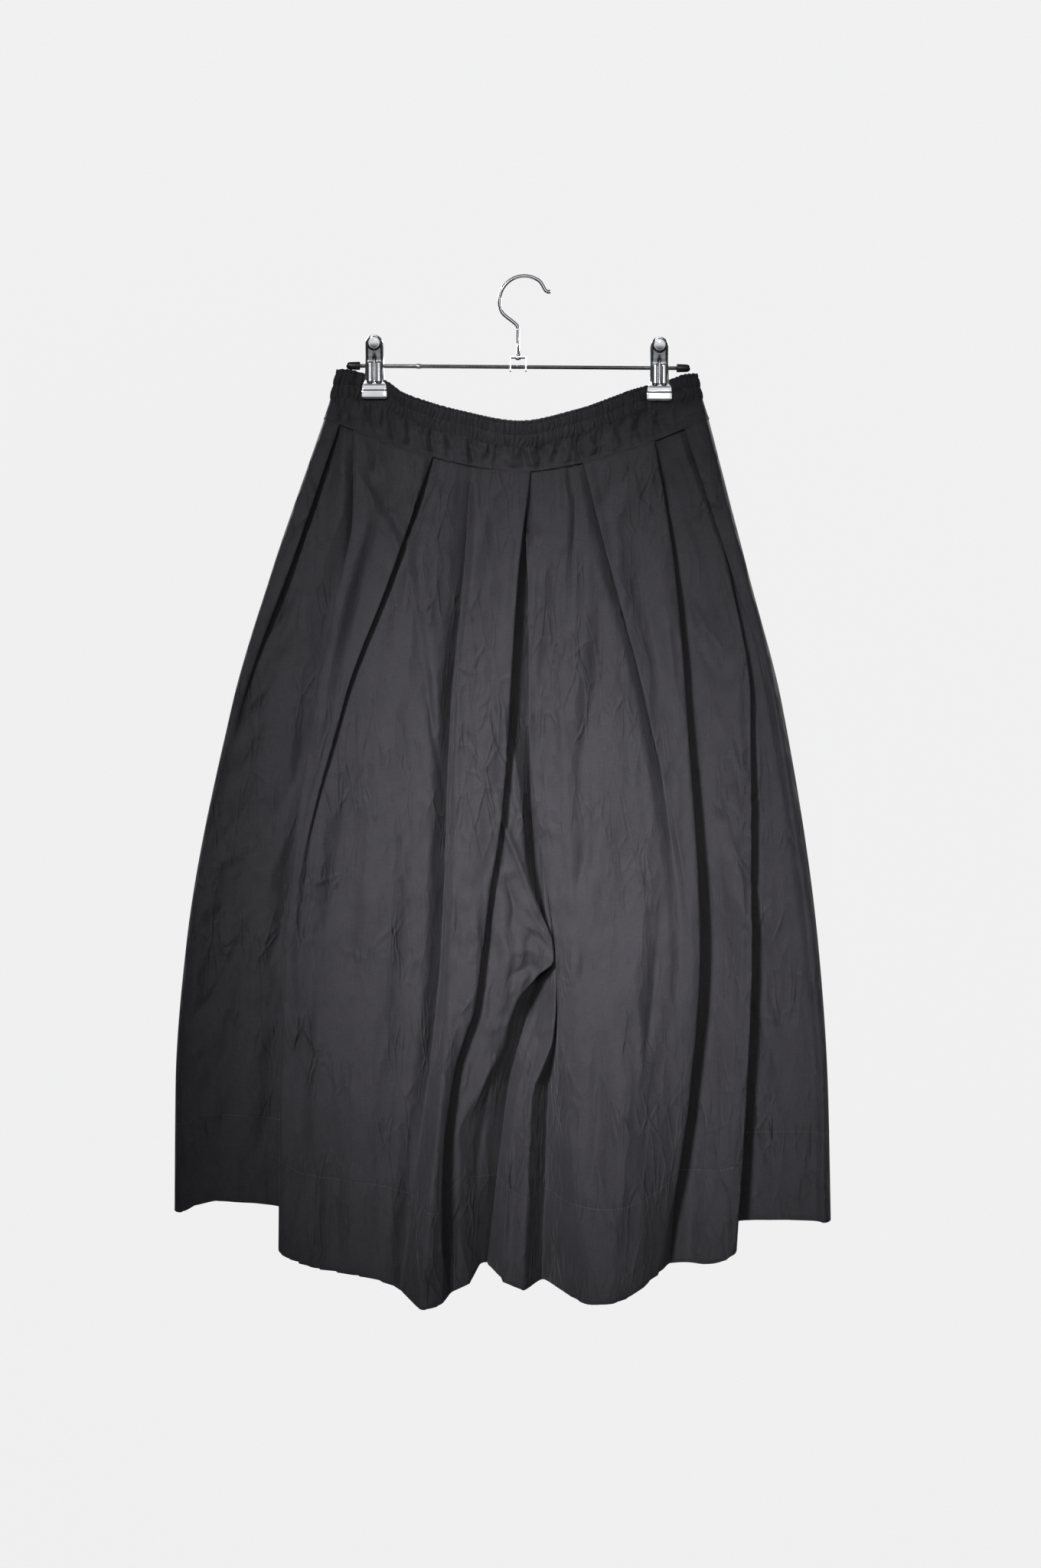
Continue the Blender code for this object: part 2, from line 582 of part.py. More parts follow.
def bracket(material):
    """The sheet-steel saddle: a top plate on the hook's stem and two legs on the rod."""
    half = BRACKET_WIDTH / 2
    deep = BRACKET_DEPTH / 2
    saddle = box_object(
        "hanger_bracket", (STEM_X - half, -deep, BRACKET_END), (STEM_X + half, deep, BRACKET_TOP), material
    )
    inside = box_object(
        "bracket_inside",
        (STEM_X - half + BRACKET_WALL, -deep - 1, BRACKET_END - 1),
        (STEM_X + half - BRACKET_WALL, deep + 1, BRACKET_TOP - BRACKET_WALL),
        material,
    )
    rod_hole = spun("bracket_rod_hole", STEM_X - half - 2, ((0, ROD_RADIUS + FIT), (BRACKET_WIDTH + 4, ROD_RADIUS + FIT)), 12, material)
    top = Vector((STEM_X, 0, BRACKET_TOP))
    side, up = Vector((1, 0, 0)), Vector((0, 1, 0))
    stem_hole = skinned(
        "bracket_stem_hole",
        [ring(top + Vector((0, 0, z)), WIRE_RADIUS + FIT, side, up, 12) for z in (-2, 1)],
        material,
    )
    for cutter in (inside, rod_hole, stem_hole):
        cut(saddle, cutter)


def rod(material):
    length = ROD_RIGHT - ROD_LEFT
    crimp = CRIMP_X - ROD_LEFT
    profile = (
        (0, ROD_RADIUS - 0.4),
        (0.4, ROD_RADIUS),
        (crimp - 1.8, ROD_RADIUS),
        (crimp - 0.8, ROD_RADIUS + 0.6),
        (crimp + 0.8, ROD_RADIUS + 0.6),
        (crimp + 1.8, ROD_RADIUS),
        (length - 0.4, ROD_RADIUS),
        (length, ROD_RADIUS - 0.4),
    )
    spun("hanger_rod", ROD_LEFT, profile, 12, material)


def caps(material):
    """A tapered rubber cap on each end of the rod, bored for it."""
    bore = ROD_RADIUS + FIT / 2
    for name, tip, rod_end, way in (
        ("hanger_cap_left", CAP_LEFT, ROD_LEFT, 1),
        ("hanger_cap_right", CAP_RIGHT, ROD_RIGHT, -1),
    ):
        floor = (rod_end - tip) * way - FIT
        profile = [
            (floor, bore),
            (CAP_LENGTH, bore),
            (CAP_LENGTH, CAP_RADIUS - 0.5),
            (CAP_LENGTH - 0.5, CAP_RADIUS),
            (3.0, CAP_RADIUS - 0.4),
            (1.0, CAP_RADIUS - 1.2),
            (0, CAP_RADIUS - 2.6),
        ]
        spun(name, tip, [(d * way, r) for d, r in profile], 12, material)


def clip(name, x, steel, spring):
    """A sprung clip: two ridged leaves that pinch the waistband, on a coil about the rod."""
    hub = rod_point(x)
    for part, face in (("front", FRONT), ("back", BACK)):
        rows = []
        for leaf in LEAF:
            row = []
            for k, column in enumerate(LEAF_COLUMNS):
                out = leaf.y + LEAF_WALL / 2 + (leaf.ridge if k in LEAF_RIDGES else 0.0)
                row.append(hub + Vector((column * leaf.half_width, face * out, leaf.z)))
            rows.append(row)
        sheet_object(f"{name}_{part}", rows, LEAF_WALL, steel)
    bore = ROD_RADIUS + FIT
    coil = bore + SPRING_WALL
    half = SPRING_LENGTH / 2
    spun(
        f"{name}_spring",
        x - half,
        ((0, bore), (0, coil - 0.3), (0.3, coil), (2 * half - 0.3, coil), (2 * half, coil - 0.3), (2 * half, bore)),
        12,
        spring,
        looped=True,
    )


def clear_scene():
    for obj in list(bpy.data.objects):
        bpy.data.objects.remove(obj, do_unlink=True)


def collection(name):
    made = bpy.data.collections.new(name)
    bpy.context.scene.collection.children.link(made)
    return made


def finish(name, colour, roughness, metallic):
    material = bpy.data.materials.new(name)
    material.use_nodes = True
    shader = material.node_tree.nodes["Principled BSDF"]
    shader.inputs["Base Color"].default_value = (*colour, 1.0)
    shader.inputs["Roughness"].default_value = roughness
    shader.inputs["Metallic"].default_value = metallic
    return material


clear_scene()
PARTS = collection("culottes_on_clip_hanger")
cotton = finish("black_cotton", (0.018, 0.018, 0.02), 0.85, 0.0)
chrome = finish("chromed_steel", (0.62, 0.63, 0.65), 0.16, 1.0)
plated = finish("plated_steel", (0.46, 0.46, 0.47), 0.34, 1.0)
rubber = finish("black_rubber", (0.02, 0.02, 0.02), 0.6, 0.0)

legs(cotton)
yoke("yoke_front", FRONT, cotton)
yoke("yoke_back", BACK, cotton)
casing("waist_casing_front", FRONT, FRONT_RIBS, FRONT_LEVELS, cotton)
casing("waist_casing_back", BACK, BACK_RIBS, BACK_LEVELS, cotton)
hook(chrome)
bracket(plated)
rod(plated)
caps(rubber)
clip("clip_left", CLIP_LEFT_X, chrome, plated)
clip("clip_right", CLIP_RIGHT_X, chrome, plated)
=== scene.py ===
"""The looks of a pair of black cotton culottes on a clip hanger: cloth, sewing, steel, rubber and studio.

Tables are in millimetres, with heights as depths below the inside top of the hanger's hook, and "left"
and "right" are as seen from the front. Each leg is one shell over its fold lines. Its relief is a shift
along Y that depends on X and height, so the layers of a pleat move together. Only the crumple is less on
the steep walls of deep folds.
"""
import math
from collections import namedtuple
from functools import partial

import bpy
import numpy as np
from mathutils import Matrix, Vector


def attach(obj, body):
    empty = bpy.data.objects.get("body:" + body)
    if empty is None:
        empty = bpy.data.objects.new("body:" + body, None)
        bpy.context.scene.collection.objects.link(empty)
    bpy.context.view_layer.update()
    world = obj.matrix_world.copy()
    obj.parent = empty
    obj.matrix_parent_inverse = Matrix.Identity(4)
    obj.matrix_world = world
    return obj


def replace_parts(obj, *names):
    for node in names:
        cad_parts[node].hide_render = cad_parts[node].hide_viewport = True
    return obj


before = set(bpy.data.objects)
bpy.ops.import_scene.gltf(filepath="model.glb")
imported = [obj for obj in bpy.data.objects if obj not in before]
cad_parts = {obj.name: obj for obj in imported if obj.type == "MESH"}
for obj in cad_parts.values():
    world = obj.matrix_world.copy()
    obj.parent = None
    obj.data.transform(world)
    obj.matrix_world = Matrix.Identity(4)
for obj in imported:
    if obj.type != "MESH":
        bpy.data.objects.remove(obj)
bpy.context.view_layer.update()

MM = 0.001
FRONT, BACK = -1, 1
LEFT, RIGHT = -1, 1

# ---------------------------------------------------------------- waistband and legs, as in the solids
SEAM_GAP, CROTCH_GAP = 0.05, 0.3   # half the gaps between pieces at their seams, and at the inseams
SEAM_RUN = 3.0             # how far a piece runs straight in from a seam
SEAM_LAP, SEAM_UNDER = 3.0, 0.8    # a seam's allowance: how far it runs on, and how far under
HIP, THIGH, CROTCH, KNEE = 280.0, 400.0, 630.0, 760.0   # the depths that a fold's table is given at

Waist = namedtuple("Waist", "x top casing_end hollow")
WAIST = tuple(Waist(*row) for row in (
    (-179, 87, 114, 3.4), (-164, 87, 114, 2.6), (-150, 90, 117, 0.5), (-126, 98, 124, 0.5),
    (-112, 108, 132, 2.0), (-92, 116, 141, 4.5), (-62, 125, 149, 6.8), (-1, 136.6, 160.6, 8.0),
    (53, 125, 149, 6.8), (86, 113, 138, 4.5), (104, 106, 131, 2.0), (118, 102, 127, 0.5),
    (142, 95.5, 121, 0.5), (155, 91.5, 116, 2.6), (170, 90.7, 114, 3.4),
))
WAIST_LEFT, WAIST_RIGHT = -173.0, 165.0
CASING_LEFT, CASING_RIGHT = -179.0, 170.0
YOKE_LEFT, YOKE_RIGHT = -185.5, 176.5
FRONT_RIBS, BACK_RIBS = 84, 84   # the solid's back has 54
YOKE_DROP = 10.0           # the hollow's half depth at the foot of the yoke
BACK_RISE = 3.0            # how far the back's top edge stands above the front's in the middle
SEAM_CENTRE, SEAM_RISE, SEAM_POWER = 183.0, 51.0, 1.6   # the pleat seam's dip

# A fold line: x at the pleat seam, at four depths and at the hem, then y, the hem's depth and how far
# round the fold bends. Where a fold is drawn out of that plain line, which the solids keep to, depths
# with x and y there follow.
FOLD = "name seam hip thigh crotch knee hem y_seam y_hip y_crotch y_hem hem_end bend drawn"
Fold = namedtuple("Fold", FOLD, defaults=((),))
SLOT_LEFT_DRAWN = (
    (165, -167, -15), (195, -166, -19), (232, -166, -19), (262, -174, -14), (300, -189, -10),
    (340, -203, -9),
)
SLOT_RIGHT_DRAWN = (
    (165, -158, -15), (195, -157, -18), (232, -158, -21), (262, -164, -23), (300, -174, -26),
)
STRIP_DRAWN = (
    (344, -242, -15), (413, -265, -11), (462, -278, -8), (520, -291, -7),
)
EDGE_DRAWN = (
    (436, -11, -38), (507, -17, -43), (542, -22, -46), (578, -28, -49), (631, -35, -52), (684, -42, -55),
    (710, -51, -56), (734, -59, -58), (770, -66, -60), (805, -70, -63), (850, -72, -66),
)
UNDER_DRAWN = (
    (436, -24, -20), (507, -30, -24), (578, -39, -27), (631, -46, -29), (684, -53, -32), (734, -68, -36),
    (805, -79, -42), (850, -80, -45),
)
FLOOR_DRAWN = (
    (400, -20, -13), (480, -24, -22), (520, -25.5, -28), (568, -29.5, -32), (600, -31.5, -33.5),
    (626, -34, -34), (654, -39, -35), (681, -45, -37), (723, -59, -40), (765, -66, -42), (800, -72, -44),
    (850, -68, -42),
)
LEAF_DRAWN = (
    (340, -9, -11), (400, -15, -15), (425, -12, -18), (462, -4.5, -23), (500, 0.6, -27), (539, 3, -30),
    (568, 8, -34), (593, 17.5, -38), (626, 30, -42), (640, 30.5, -43), (654, 15, -42), (681, -6, -38),
    (723, -20, -38), (765, -41, -42), (800, -57, -45), (850, -56, -40),
)
TUBE_DRAWN = (
    (205, 4, -13), (235, 3, -16), (262, 3.5, -20), (285, 5, -24), (345, 6, -29), (410, 6, -32),
    (449, 7, -33), (500, 13, -34), (547, 19, -36),
)
TURN_DRAWN = (
    (626, 23.5, -12), (660, 22, -20), (711, 13, -25), (744, 2, -26), (775, -6, -26), (850, -12, -28),
)
RIDGE_DRAWN = (
    (593, 24, -25), (626, 29, -30), (640, 31, -33), (675, 32, -37), (711, 29.5, -38), (744, 18, -37),
    (761, 11, -36), (775, 9, -36), (850, 6, -37),
)

SIDE_SEAM_LEFT = Fold("side_seam_left", -166, -209, -239, -269, -282, -288, -8, -7.2, -8.5, -8, 866, 0)
SIDE_SEAM_RIGHT = Fold("side_seam_right", 141, 186, 207, 208, 203, 194, -9, -15, -30, -40, 914, 0)
FRONT_LEFT = (
    Fold("side_ridge", -166, -181, -219, -243, -253, -256, -11, -12, -9, -9, 867, 7, SLOT_LEFT_DRAWN),
    Fold("recess", -155, -159, -184, -209, -212, -213, -8, -6, -7, -8, 874, 3),
    Fold("panel_edge", -158, -168, -194, -220, -224, -225, -12.6, -24, -43, -50, 908, 5, SLOT_RIGHT_DRAWN),
    Fold("panel_ridge", -149, -160, -182, -217, -218, -217, -13.2, -28, -47, -54, 911, 12),
    Fold("panel_crease", -117, -143, -173, -214, -212, -209, -12.2, -25, -47, -55, 915, 12),
    Fold("flap_edge", -81, -119, -163, -211, -206, -201, -12.6, -28, -47, -55, 918, 4),
    Fold("flap_under", -91, -133, -174, -204, -196, -190, -8, -18, -43, -55, 921, 4),
    Fold("flap_shadow", -78, -113, -143, -168, -180, -180, -8, -18, -43, -55, 923, 10),
    Fold("ridge_1", -70, -103, -119, -133, -145, -160, -11, -27, -54, -60, 926, 12),
    Fold("valley_1", -62, -87, -96, -102, -115, -138, -9, -24, -48, -56, 929, 8),
    Fold("ridge_2", -55, -66, -77, -88, -103, -122, -11, -26, -54, -61, 934, 6),
    Fold("valley_2", -46, -53, -65, -74, -87, -110, -8, -11, -37, -57, 941, 3),
    Fold("ridge_3", -41, -48, -60, -66, -74, -92, -12, -27, -56, -80, 956, 4),
    Fold("panel_soft", -15, -23, -32, -50, -67, -82, -12.4, -27, -54, -77, 954, 8),
    Fold("centre_edge", 11, -1, -9, -38, -60, -72, -14.5, -28, -52, -72, 951, 4, EDGE_DRAWN),
    Fold("centre_under", 0, -15, -22, -48, -64, -66, -8, -12, -28, -50, 946, 4, UNDER_DRAWN),
    Fold("inner_floor", 5.2, -7, -12, -20, -42, -47, -8, -10.5, -16, -36, 937, 1, FLOOR_DRAWN),
    Fold("inner_ridge", 6.8, -2, 0, 4, -22, -38, -8, -10, -20, -14, 923, 3, LEAF_DRAWN),
)
FRONT_LEFT_INNER = Fold("inner_seam", 11, 4, 7, 17, -8.6, -31, -8, -9, 0, 0, 925, 0)
FRONT_RIGHT_INNER = Fold("inner_seam", 11, 4, 7, 17, -7.4, -27, -8, -9, 0, 0, 924, 0)
FRONT_RIGHT = (
    Fold("inner_turn", 14.6, 7.8, 10.6, 22, -4, -18, -8, -9.5, -16, -30, 936, 1, TURN_DRAWN),
    Fold("inner_ridge", 15.9, 9.6, 12.4, 28, -11, 2, -8, -10, -24, -38, 947, 3, RIDGE_DRAWN),
    Fold("inner_valley", 22, 16, 19, 38, 26, 20, -8, -11, -11, -9, 938, 4),
    Fold("centre_edge", 8, 5, 8, 31, 36, 40, -11, -22, -40, -46, 945, 3, TUBE_DRAWN),
    Fold("valley_1", 32, 34, 29, 42, 50, 50, -9, -23, -46, -58, 948, 8),
    Fold("ridge_1", 40, 46, 43, 49, 63, 55, -11.5, -28, -50, -66, 951, 10),
    Fold("valley_2", 44, 56, 61, 58, 72, 64, -8, -21, -49, -70, 952, 8),
    Fold("front_ridge", 47, 66, 82, 86, 88, 78, -9, -23, -56, -76, 951, 14),
    Fold("flap_foot", 50, 77, 107, 136, 112, 92, -10, -21, -52, -72, 948, 4),
    Fold("flap_under", 62, 90, 120, 147, 123, 101, -7, -5, -48, -69, 944, 3),
    Fold("flap_edge", 57, 84, 115, 156, 134, 114, -12.6, -28, -50, -60, 936, 2),
    Fold("panel_crease", 92, 115, 135, 161, 145, 122, -12.8, -25, -49, -54, 930, 12),
    Fold("panel_edge", 127, 145, 154, 166, 157, 130, -12.6, -27, -46, -46, 924, 5),
    Fold("panel_under", 117, 136, 146, 157, 150, 139, -8, -9, -12, -24, 921, 5),
    Fold("side_valley", 127, 148, 161, 171, 165, 151, -8, -8, -10, -23, 921, 8),
    Fold("side_floor", 131, 157, 172, 179, 173, 160, -8, -9, -12, -25, 921, 9),
    Fold("side_ridge", 136.5, 170, 196, 198, 193, 179, -9, -13, -25, -38, 922, 12),
)
RIGHT_WRAP = (
    Fold("panel_edge", 147, 194, 215, 215, 210, 200, -9, -16, -31, -38, 911, 4),
    Fold("panel_under", 150, 197, 207, 207, 202, 200, -8, -5, -5, -7, 885, 4),
    Fold("recess", 153.5, 201, 223, 246, 252, 252, -8, -3, -2, -2, 885, 2),
    Fold("strip_under", 162, 209, 231, 264, 276, 278, -8, -4, -3, -2, 886, 4),
    Fold("strip_edge", 151, 196, 236, 270, 282, 284, -12.6, -18, -12, -7, 887, 4),
    Fold("side_front", 173, 211.5, 242, 277, 286, 289, -12, -14, -7, -3, 887, 4),
    Fold("side_fold", 177, 214.5, 246, 281, 290, 293, 0, 0, 4, 7, 887, 6),
)
LEFT_WRAP = (
    Fold("side_fold", -186, -236, -272, -317, -327, -328, 0, 0, 4, 6, 878, 6),
    Fold("side_front", -182, -233, -269, -312, -322, -323, -12, -14, -7, -3, 878, 4),
    Fold("strip_edge", -168, -217, -257, -304, -314, -315, -12.6, -17, -9, -7, 877, 4, STRIP_DRAWN),
    Fold("strip_under", -178, -221, -260, -290, -302, -304, -8, -7, -7, -7, 868, 4),
)
BackFold = namedtuple("BackFold", "name seam hip crotch hem y_seam y_hip y_crotch y_hem hem_end bend")
BACK_FOLDS = (
    BackFold("centre_under", 0.14, 0.13, 0.17, 0.14, 8, 11, 18, 14, 910, 4),
    BackFold("centre_edge", 0.075, 0.05, 0.10, 0.09, 12.6, 20, 28, 26, 914, 4),
    BackFold("ridge_1", 0.26, 0.25, 0.27, 0.28, 12, 20, 32, 36, 901, 12),
    BackFold("valley_1", 0.37, 0.35, 0.37, 0.40, 8.5, 13, 23, 27, 894, 8),
    BackFold("ridge_2", 0.47, 0.46, 0.48, 0.50, 8.5, 19, 31, 35, 888, 12),
    BackFold("flap_under", 0.64, 0.64, 0.62, 0.61, 8, 12, 23, 28, 881, 4),
    BackFold("flap_edge", 0.59, 0.57, 0.58, 0.58, 12.6, 21, 31, 35, 883, 4),
    BackFold("ridge_3", 0.76, 0.74, 0.73, 0.72, 12, 19, 31, 34, 874, 12),
    BackFold("valley_2", 0.86, 0.85, 0.84, 0.84, 8.5, 12, 20, 22, 868, 8),
)
BACK_LEFT_INNER = Fold("inner_seam", 0, 3, 7, 17, -8.6, -31, 8, 10, 0, 0, 925, 0)
BACK_RIGHT_INNER = Fold("inner_seam", 0, 3, 7, 17, -7.4, -27, 8, 10, 0, 0, 924, 0)

# ---------------------------------------------------------------- cloth shells
CLOTH = 0.5                # thickness of the cotton
PITCH = 3.3                # spacing of a leg's columns where it runs straight
LEG_ROWS = 176
ARC_COLUMNS = 5
SOFT_BEND = 1.35           # soft folds are rounder than in the solids by this
TUCK_Y, TUCK = 10.4, 0.5   # the folds' depths close in on TUCK_Y by this share where the yoke holds them
PUFF, PUFF_DROP = 0.32, 20.0   # this far under the yoke they are this share of the way to their hip depth
HEM_SHARE = 0.889          # the row of the hem's stitching, as a share down the leg
HEM_TURNS = (0.995, 0.97, 0.94, 0.91, 0.893)
HEM_INSET = 1.0
LEGS_LAP, LEGS_APART = 5.0, 6.0   # how far the legs' inner edges pass each other in X and lie apart in Y
LEGS_PASS = (6.0, 90.0)    # and how far below the crotch that begins and is full
TURN_OVER = 60.0           # the height over which the centre seam turns into an inseam
STEEP, STEEP_AT = (0.7, 1.8), (400, 550)   # the slopes and depths over which crumples calm down
STEEP_CALM = 0.85          # and by how much


def curve(stations, values, at):
    """A smooth curve through values at rising stations, with no overshoot, at an array of places."""
    stations, values = np.array(stations, float), np.array(values, float)
    slopes = np.diff(values) / np.diff(stations)
    before, after = slopes[:-1], slopes[1:]
    same_way = before * after > 0
    total = np.where(same_way, before + after, 1.0)
    middle = np.where(same_way, 2 * before * after / total, 0.0)
    tangents = np.concatenate((slopes[:1], middle, slopes[-1:]))
    i = np.clip(np.searchsorted(stations, at) - 1, 0, len(slopes) - 1)
    span = stations[i + 1] - stations[i]
    t = (at - stations[i]) / span
    return (
        values[i] * (1 + 2 * t) * (1 - t) ** 2
        + values[i + 1] * t * t * (3 - 2 * t)
        + tangents[i] * span * t * (1 - t) ** 2
        - tangents[i + 1] * span * t * t * (1 - t)
    )


def ease(value, low, high):
    """0 below low, 1 above high and a smooth step between."""
    t = np.clip((value - low) / (high - low), 0.0, 1.0)
    return t * t * (3 - 2 * t)


def pleat_seam(x):
    """Depth of the pleat seam, which dips between the clips."""
    half = np.where(np.asarray(x) < 0, -YOKE_LEFT, YOKE_RIGHT)
    return SEAM_CENTRE - SEAM_RISE * (np.abs(x) / half) ** SEAM_POWER


LATTICE = 97


def noise(x, z, size_x, size_z, seed):
    """Smooth seeded noise from -1 to 1 with features of the given size."""
    lattice = np.random.default_rng(seed).uniform(-1, 1, (LATTICE, LATTICE))
    u, v = x / size_x, z / size_z
    i, j = np.floor(u).astype(int), np.floor(v).astype(int)
    s, t = ease(u - i, 0, 1), ease(v - j, 0, 1)

    def at(a, b):
        return lattice[(i + a) % LATTICE, (j + b) % LATTICE]

    return (at(0, 0) * (1 - s) + at(1, 0) * s) * (1 - t) + (at(0, 1) * (1 - s) + at(1, 1) * s) * t


def ridges(x, z, size_x, size_z, seed):
    """Noise in the shape of narrow wandering ridges, about zero on average."""
    return (1 - np.abs(noise(x, z, size_x, size_z, seed))) ** 3 - 0.32


def unit(vectors):
    return vectors / np.maximum(np.linalg.norm(vectors, axis=-1, keepdims=True), 1e-9)


def between(start, end, share):
    return start + (end - start) * share


def path_run(path):
    """The distance of each point of a path from its start."""
    return np.concatenate(((0,), np.cumsum(np.linalg.norm(np.diff(path, axis=0), axis=1))))


def path_at(values, run, at):
    """Values in threes along a path of the given run, read off at one distance or more."""
    return np.stack([np.interp(at, run, values[:, k]) for k in range(3)], axis=-1)


def outward_of_line(path, face):
    """Directions out of the garment, square to a line that runs round it."""
    along = np.gradient(path, axis=0)
    along[:, 2] = 0
    return unit(np.cross(along, (0, 0, 1.0))) * (1 if face == FRONT else -1)


# ---------------------------------------------------------------- creases
ROUND, KEEN = 0, 1         # the form of a crease's crest
KEEN_GAIN, KEEN_FALL = 1.35, 1.6
Crease = namedtuple("Crease", "width height form path")


def creases(*rows):
    """Creases from rows of half width, height and form, and then the x and depth of each point in turn.

    A positive height is a ridge, a negative one a trough.
    """
    return tuple(Crease(*row[:3], list(zip(row[3::2], row[4::2]))) for row in rows)


FRONT_CREASES = creases(
    # the left panel and its flap
    (4, -2.4, KEEN, -149, 178, -131, 208, -112, 240, -102, 260),
    (5, 2.2, KEEN, -154, 184, -138, 213, -119, 246, -108, 266),
    (4, -2.0, KEEN, -121, 152, -131, 172, -141, 192), (8, 1.4, ROUND, -166, 250, -170, 300, -178, 352),
    (9, -1.5, ROUND, -150, 262, -158, 318, -172, 372), (9, -1.8, ROUND, -162, 470, -166, 540, -178, 612),
    (8, 1.6, ROUND, -176, 450, -184, 520, -193, 600), (9, 1.8, ROUND, -142, 520, -141, 575, -146, 640),
    (6, -1.8, KEEN, -224, 668, -200, 702, -176, 745, -162, 772),
    (9, 1.5, ROUND, -214, 678, -190, 720, -170, 765), (12, -3.0, ROUND, -104, 770, -105, 840, -108, 950),
    (11, 2.4, ROUND, -88, 800, -88, 870, -93, 950), (10, -2.2, ROUND, -178, 780, -176, 850, -182, 912),
    # the pleats between the flap and the centre
    (5, -2.4, KEEN, -111, 222, -104, 280, -94, 336, -83, 420, -70, 496),
    (7, 1.6, ROUND, -100, 236, -92, 300, -80, 380, -70, 450), (5, -1.4, KEEN, -46, 172, -38, 200, -34, 228),
    (6, 1.2, ROUND, -22, 190, -34, 232, -44, 285), (6, -1.2, ROUND, -12, 230, -18, 300, -30, 380),
    (7, 1.4, ROUND, -28, 420, -44, 505, -56, 600), (6, -1.5, KEEN, -52, 560, -66, 640, -80, 735),
    (8, 1.8, ROUND, -60, 690, -74, 770, -82, 850),
    # the leaf of cloth at the crotch, and the inseam below it
    (5, 2.4, KEEN, -24, 486, -14.6, 520, -5, 542, 6, 570, 18, 600),
    (3.5, 1.9, KEEN, 29, 628, 16, 606, 2, 580), (3, -2.1, KEEN, 29, 633, 14, 619, -4, 606),
    (3, 1.8, KEEN, 28, 636, 10, 630, -12, 632), (4, -1.9, KEEN, 22, 646, 2, 648, -16, 658),
    (4, -2.1, KEEN, -16, 560, -6, 590, -10, 622), (5, 1.9, ROUND, -22, 600, -12, 636, -22, 690),
    (5, -2.2, KEEN, 30, 668, 16, 690, 2, 728), (4, 1.9, KEEN, 31, 700, 18, 706, 4, 700),
    (5, -2.4, KEEN, 18, 700, 10, 740, -2, 790), (6, -2.2, KEEN, -26, 740, -36, 790, -42, 850),
    (13, -3.8, ROUND, 30, 720, 32, 790, 26, 885), (5, -2.2, KEEN, -6, 800, -8, 860, -12, 925),
    (4, -1.6, KEEN, 4, 236, 10, 243, 15, 250), (4, -1.2, KEEN, 16, 236, 12, 248, 6, 262),
    (5, 1.3, ROUND, 20, 252, 16, 300, 17, 352),
    # the right leg's front
    (6, -1.5, ROUND, 31, 176, 35, 205, 35, 238),
    (5, -1.5, KEEN, 54, 175, 49, 240, 45, 320, 30, 348, 17, 370),
    (9, -2.4, ROUND, 71, 285, 74, 340, 69, 400, 58, 458), (7, 1.5, ROUND, 60, 300, 58, 370, 50, 440),
    (6, -1.5, KEEN, 66, 512, 60, 545, 50, 574), (8, 1.4, ROUND, 74, 500, 66, 560, 60, 620),
    (9, -1.6, ROUND, 94, 480, 98, 560, 92, 650), (10, 1.8, ROUND, 108, 520, 112, 610, 104, 700),
    (6, -1.6, KEEN, 134, 560, 125, 640, 117, 706, 112, 748), (9, -2.2, ROUND, 74, 700, 72, 780, 60, 880),
    (10, 2.2, ROUND, 98, 720, 96, 800, 86, 900),
    # the right panel
    (5, -1.6, KEEN, 104, 168, 90, 192, 70, 224), (7, 1.4, ROUND, 112, 176, 100, 204, 84, 236),
    (7, -1.3, ROUND, 100, 250, 118, 320, 130, 400), (8, 1.3, ROUND, 128, 240, 136, 320, 142, 400),
    # the right recess and strip
    (5, -1.7, KEEN, 156, 300, 172, 330, 192, 352), (6, 1.4, ROUND, 160, 330, 180, 366, 204, 392),
    (5, -1.8, KEEN, 176, 398, 196, 440, 214, 492), (7, 1.8, ROUND, 186, 420, 206, 470, 226, 520),
    (5, -1.8, KEEN, 182, 500, 204, 548, 232, 600), (6, 1.6, ROUND, 190, 560, 214, 610, 240, 650),
    (6, -2.6, KEEN, 210, 664, 228, 706, 246, 756, 262, 808), (7, 2.0, ROUND, 222, 660, 242, 712, 262, 770),
    (6, -1.8, KEEN, 206, 742, 224, 790, 238, 850), (6, 1.5, ROUND, 214, 800, 232, 846, 248, 880),
    (6, -1.4, KEEN, 252, 640, 266, 690, 278, 742),
    # the left side, drawn down and out from its seam
    (5, -1.0, KEEN, -204, 288, -220, 318, -244, 344), (6, 0.8, ROUND, -208, 316, -226, 348, -250, 372),
    (5, -1.1, KEEN, -228, 372, -244, 404, -268, 428), (6, 1.0, ROUND, -236, 404, -256, 438, -282, 462),
    (6, -1.3, KEEN, -244, 470, -262, 506, -292, 538), (7, 1.1, ROUND, -250, 505, -272, 540, -302, 570),
    (6, -1.2, KEEN, -256, 548, -276, 588, -308, 622), (7, 1.1, ROUND, -262, 586, -284, 628, -314, 660),
    (6, -1.3, KEEN, -266, 630, -288, 674, -318, 706), (6, 1.0, ROUND, -272, 676, -294, 716, -322, 742),
    (6, -1.1, KEEN, -276, 724, -298, 768, -322, 800), (7, 1.0, ROUND, -282, 772, -302, 812, -322, 842),
    # the recess beside the left side seam
    (6, -1.1, KEEN, -200, 420, -212, 470, -232, 512), (7, 1.0, ROUND, -206, 470, -220, 530, -242, 578),
    (6, -1.1, KEEN, -214, 560, -228, 620, -250, 668), (7, 1.0, ROUND, -220, 640, -234, 700, -256, 744),
    (7, -1.1, ROUND, -222, 720, -236, 786, -258, 846),
)
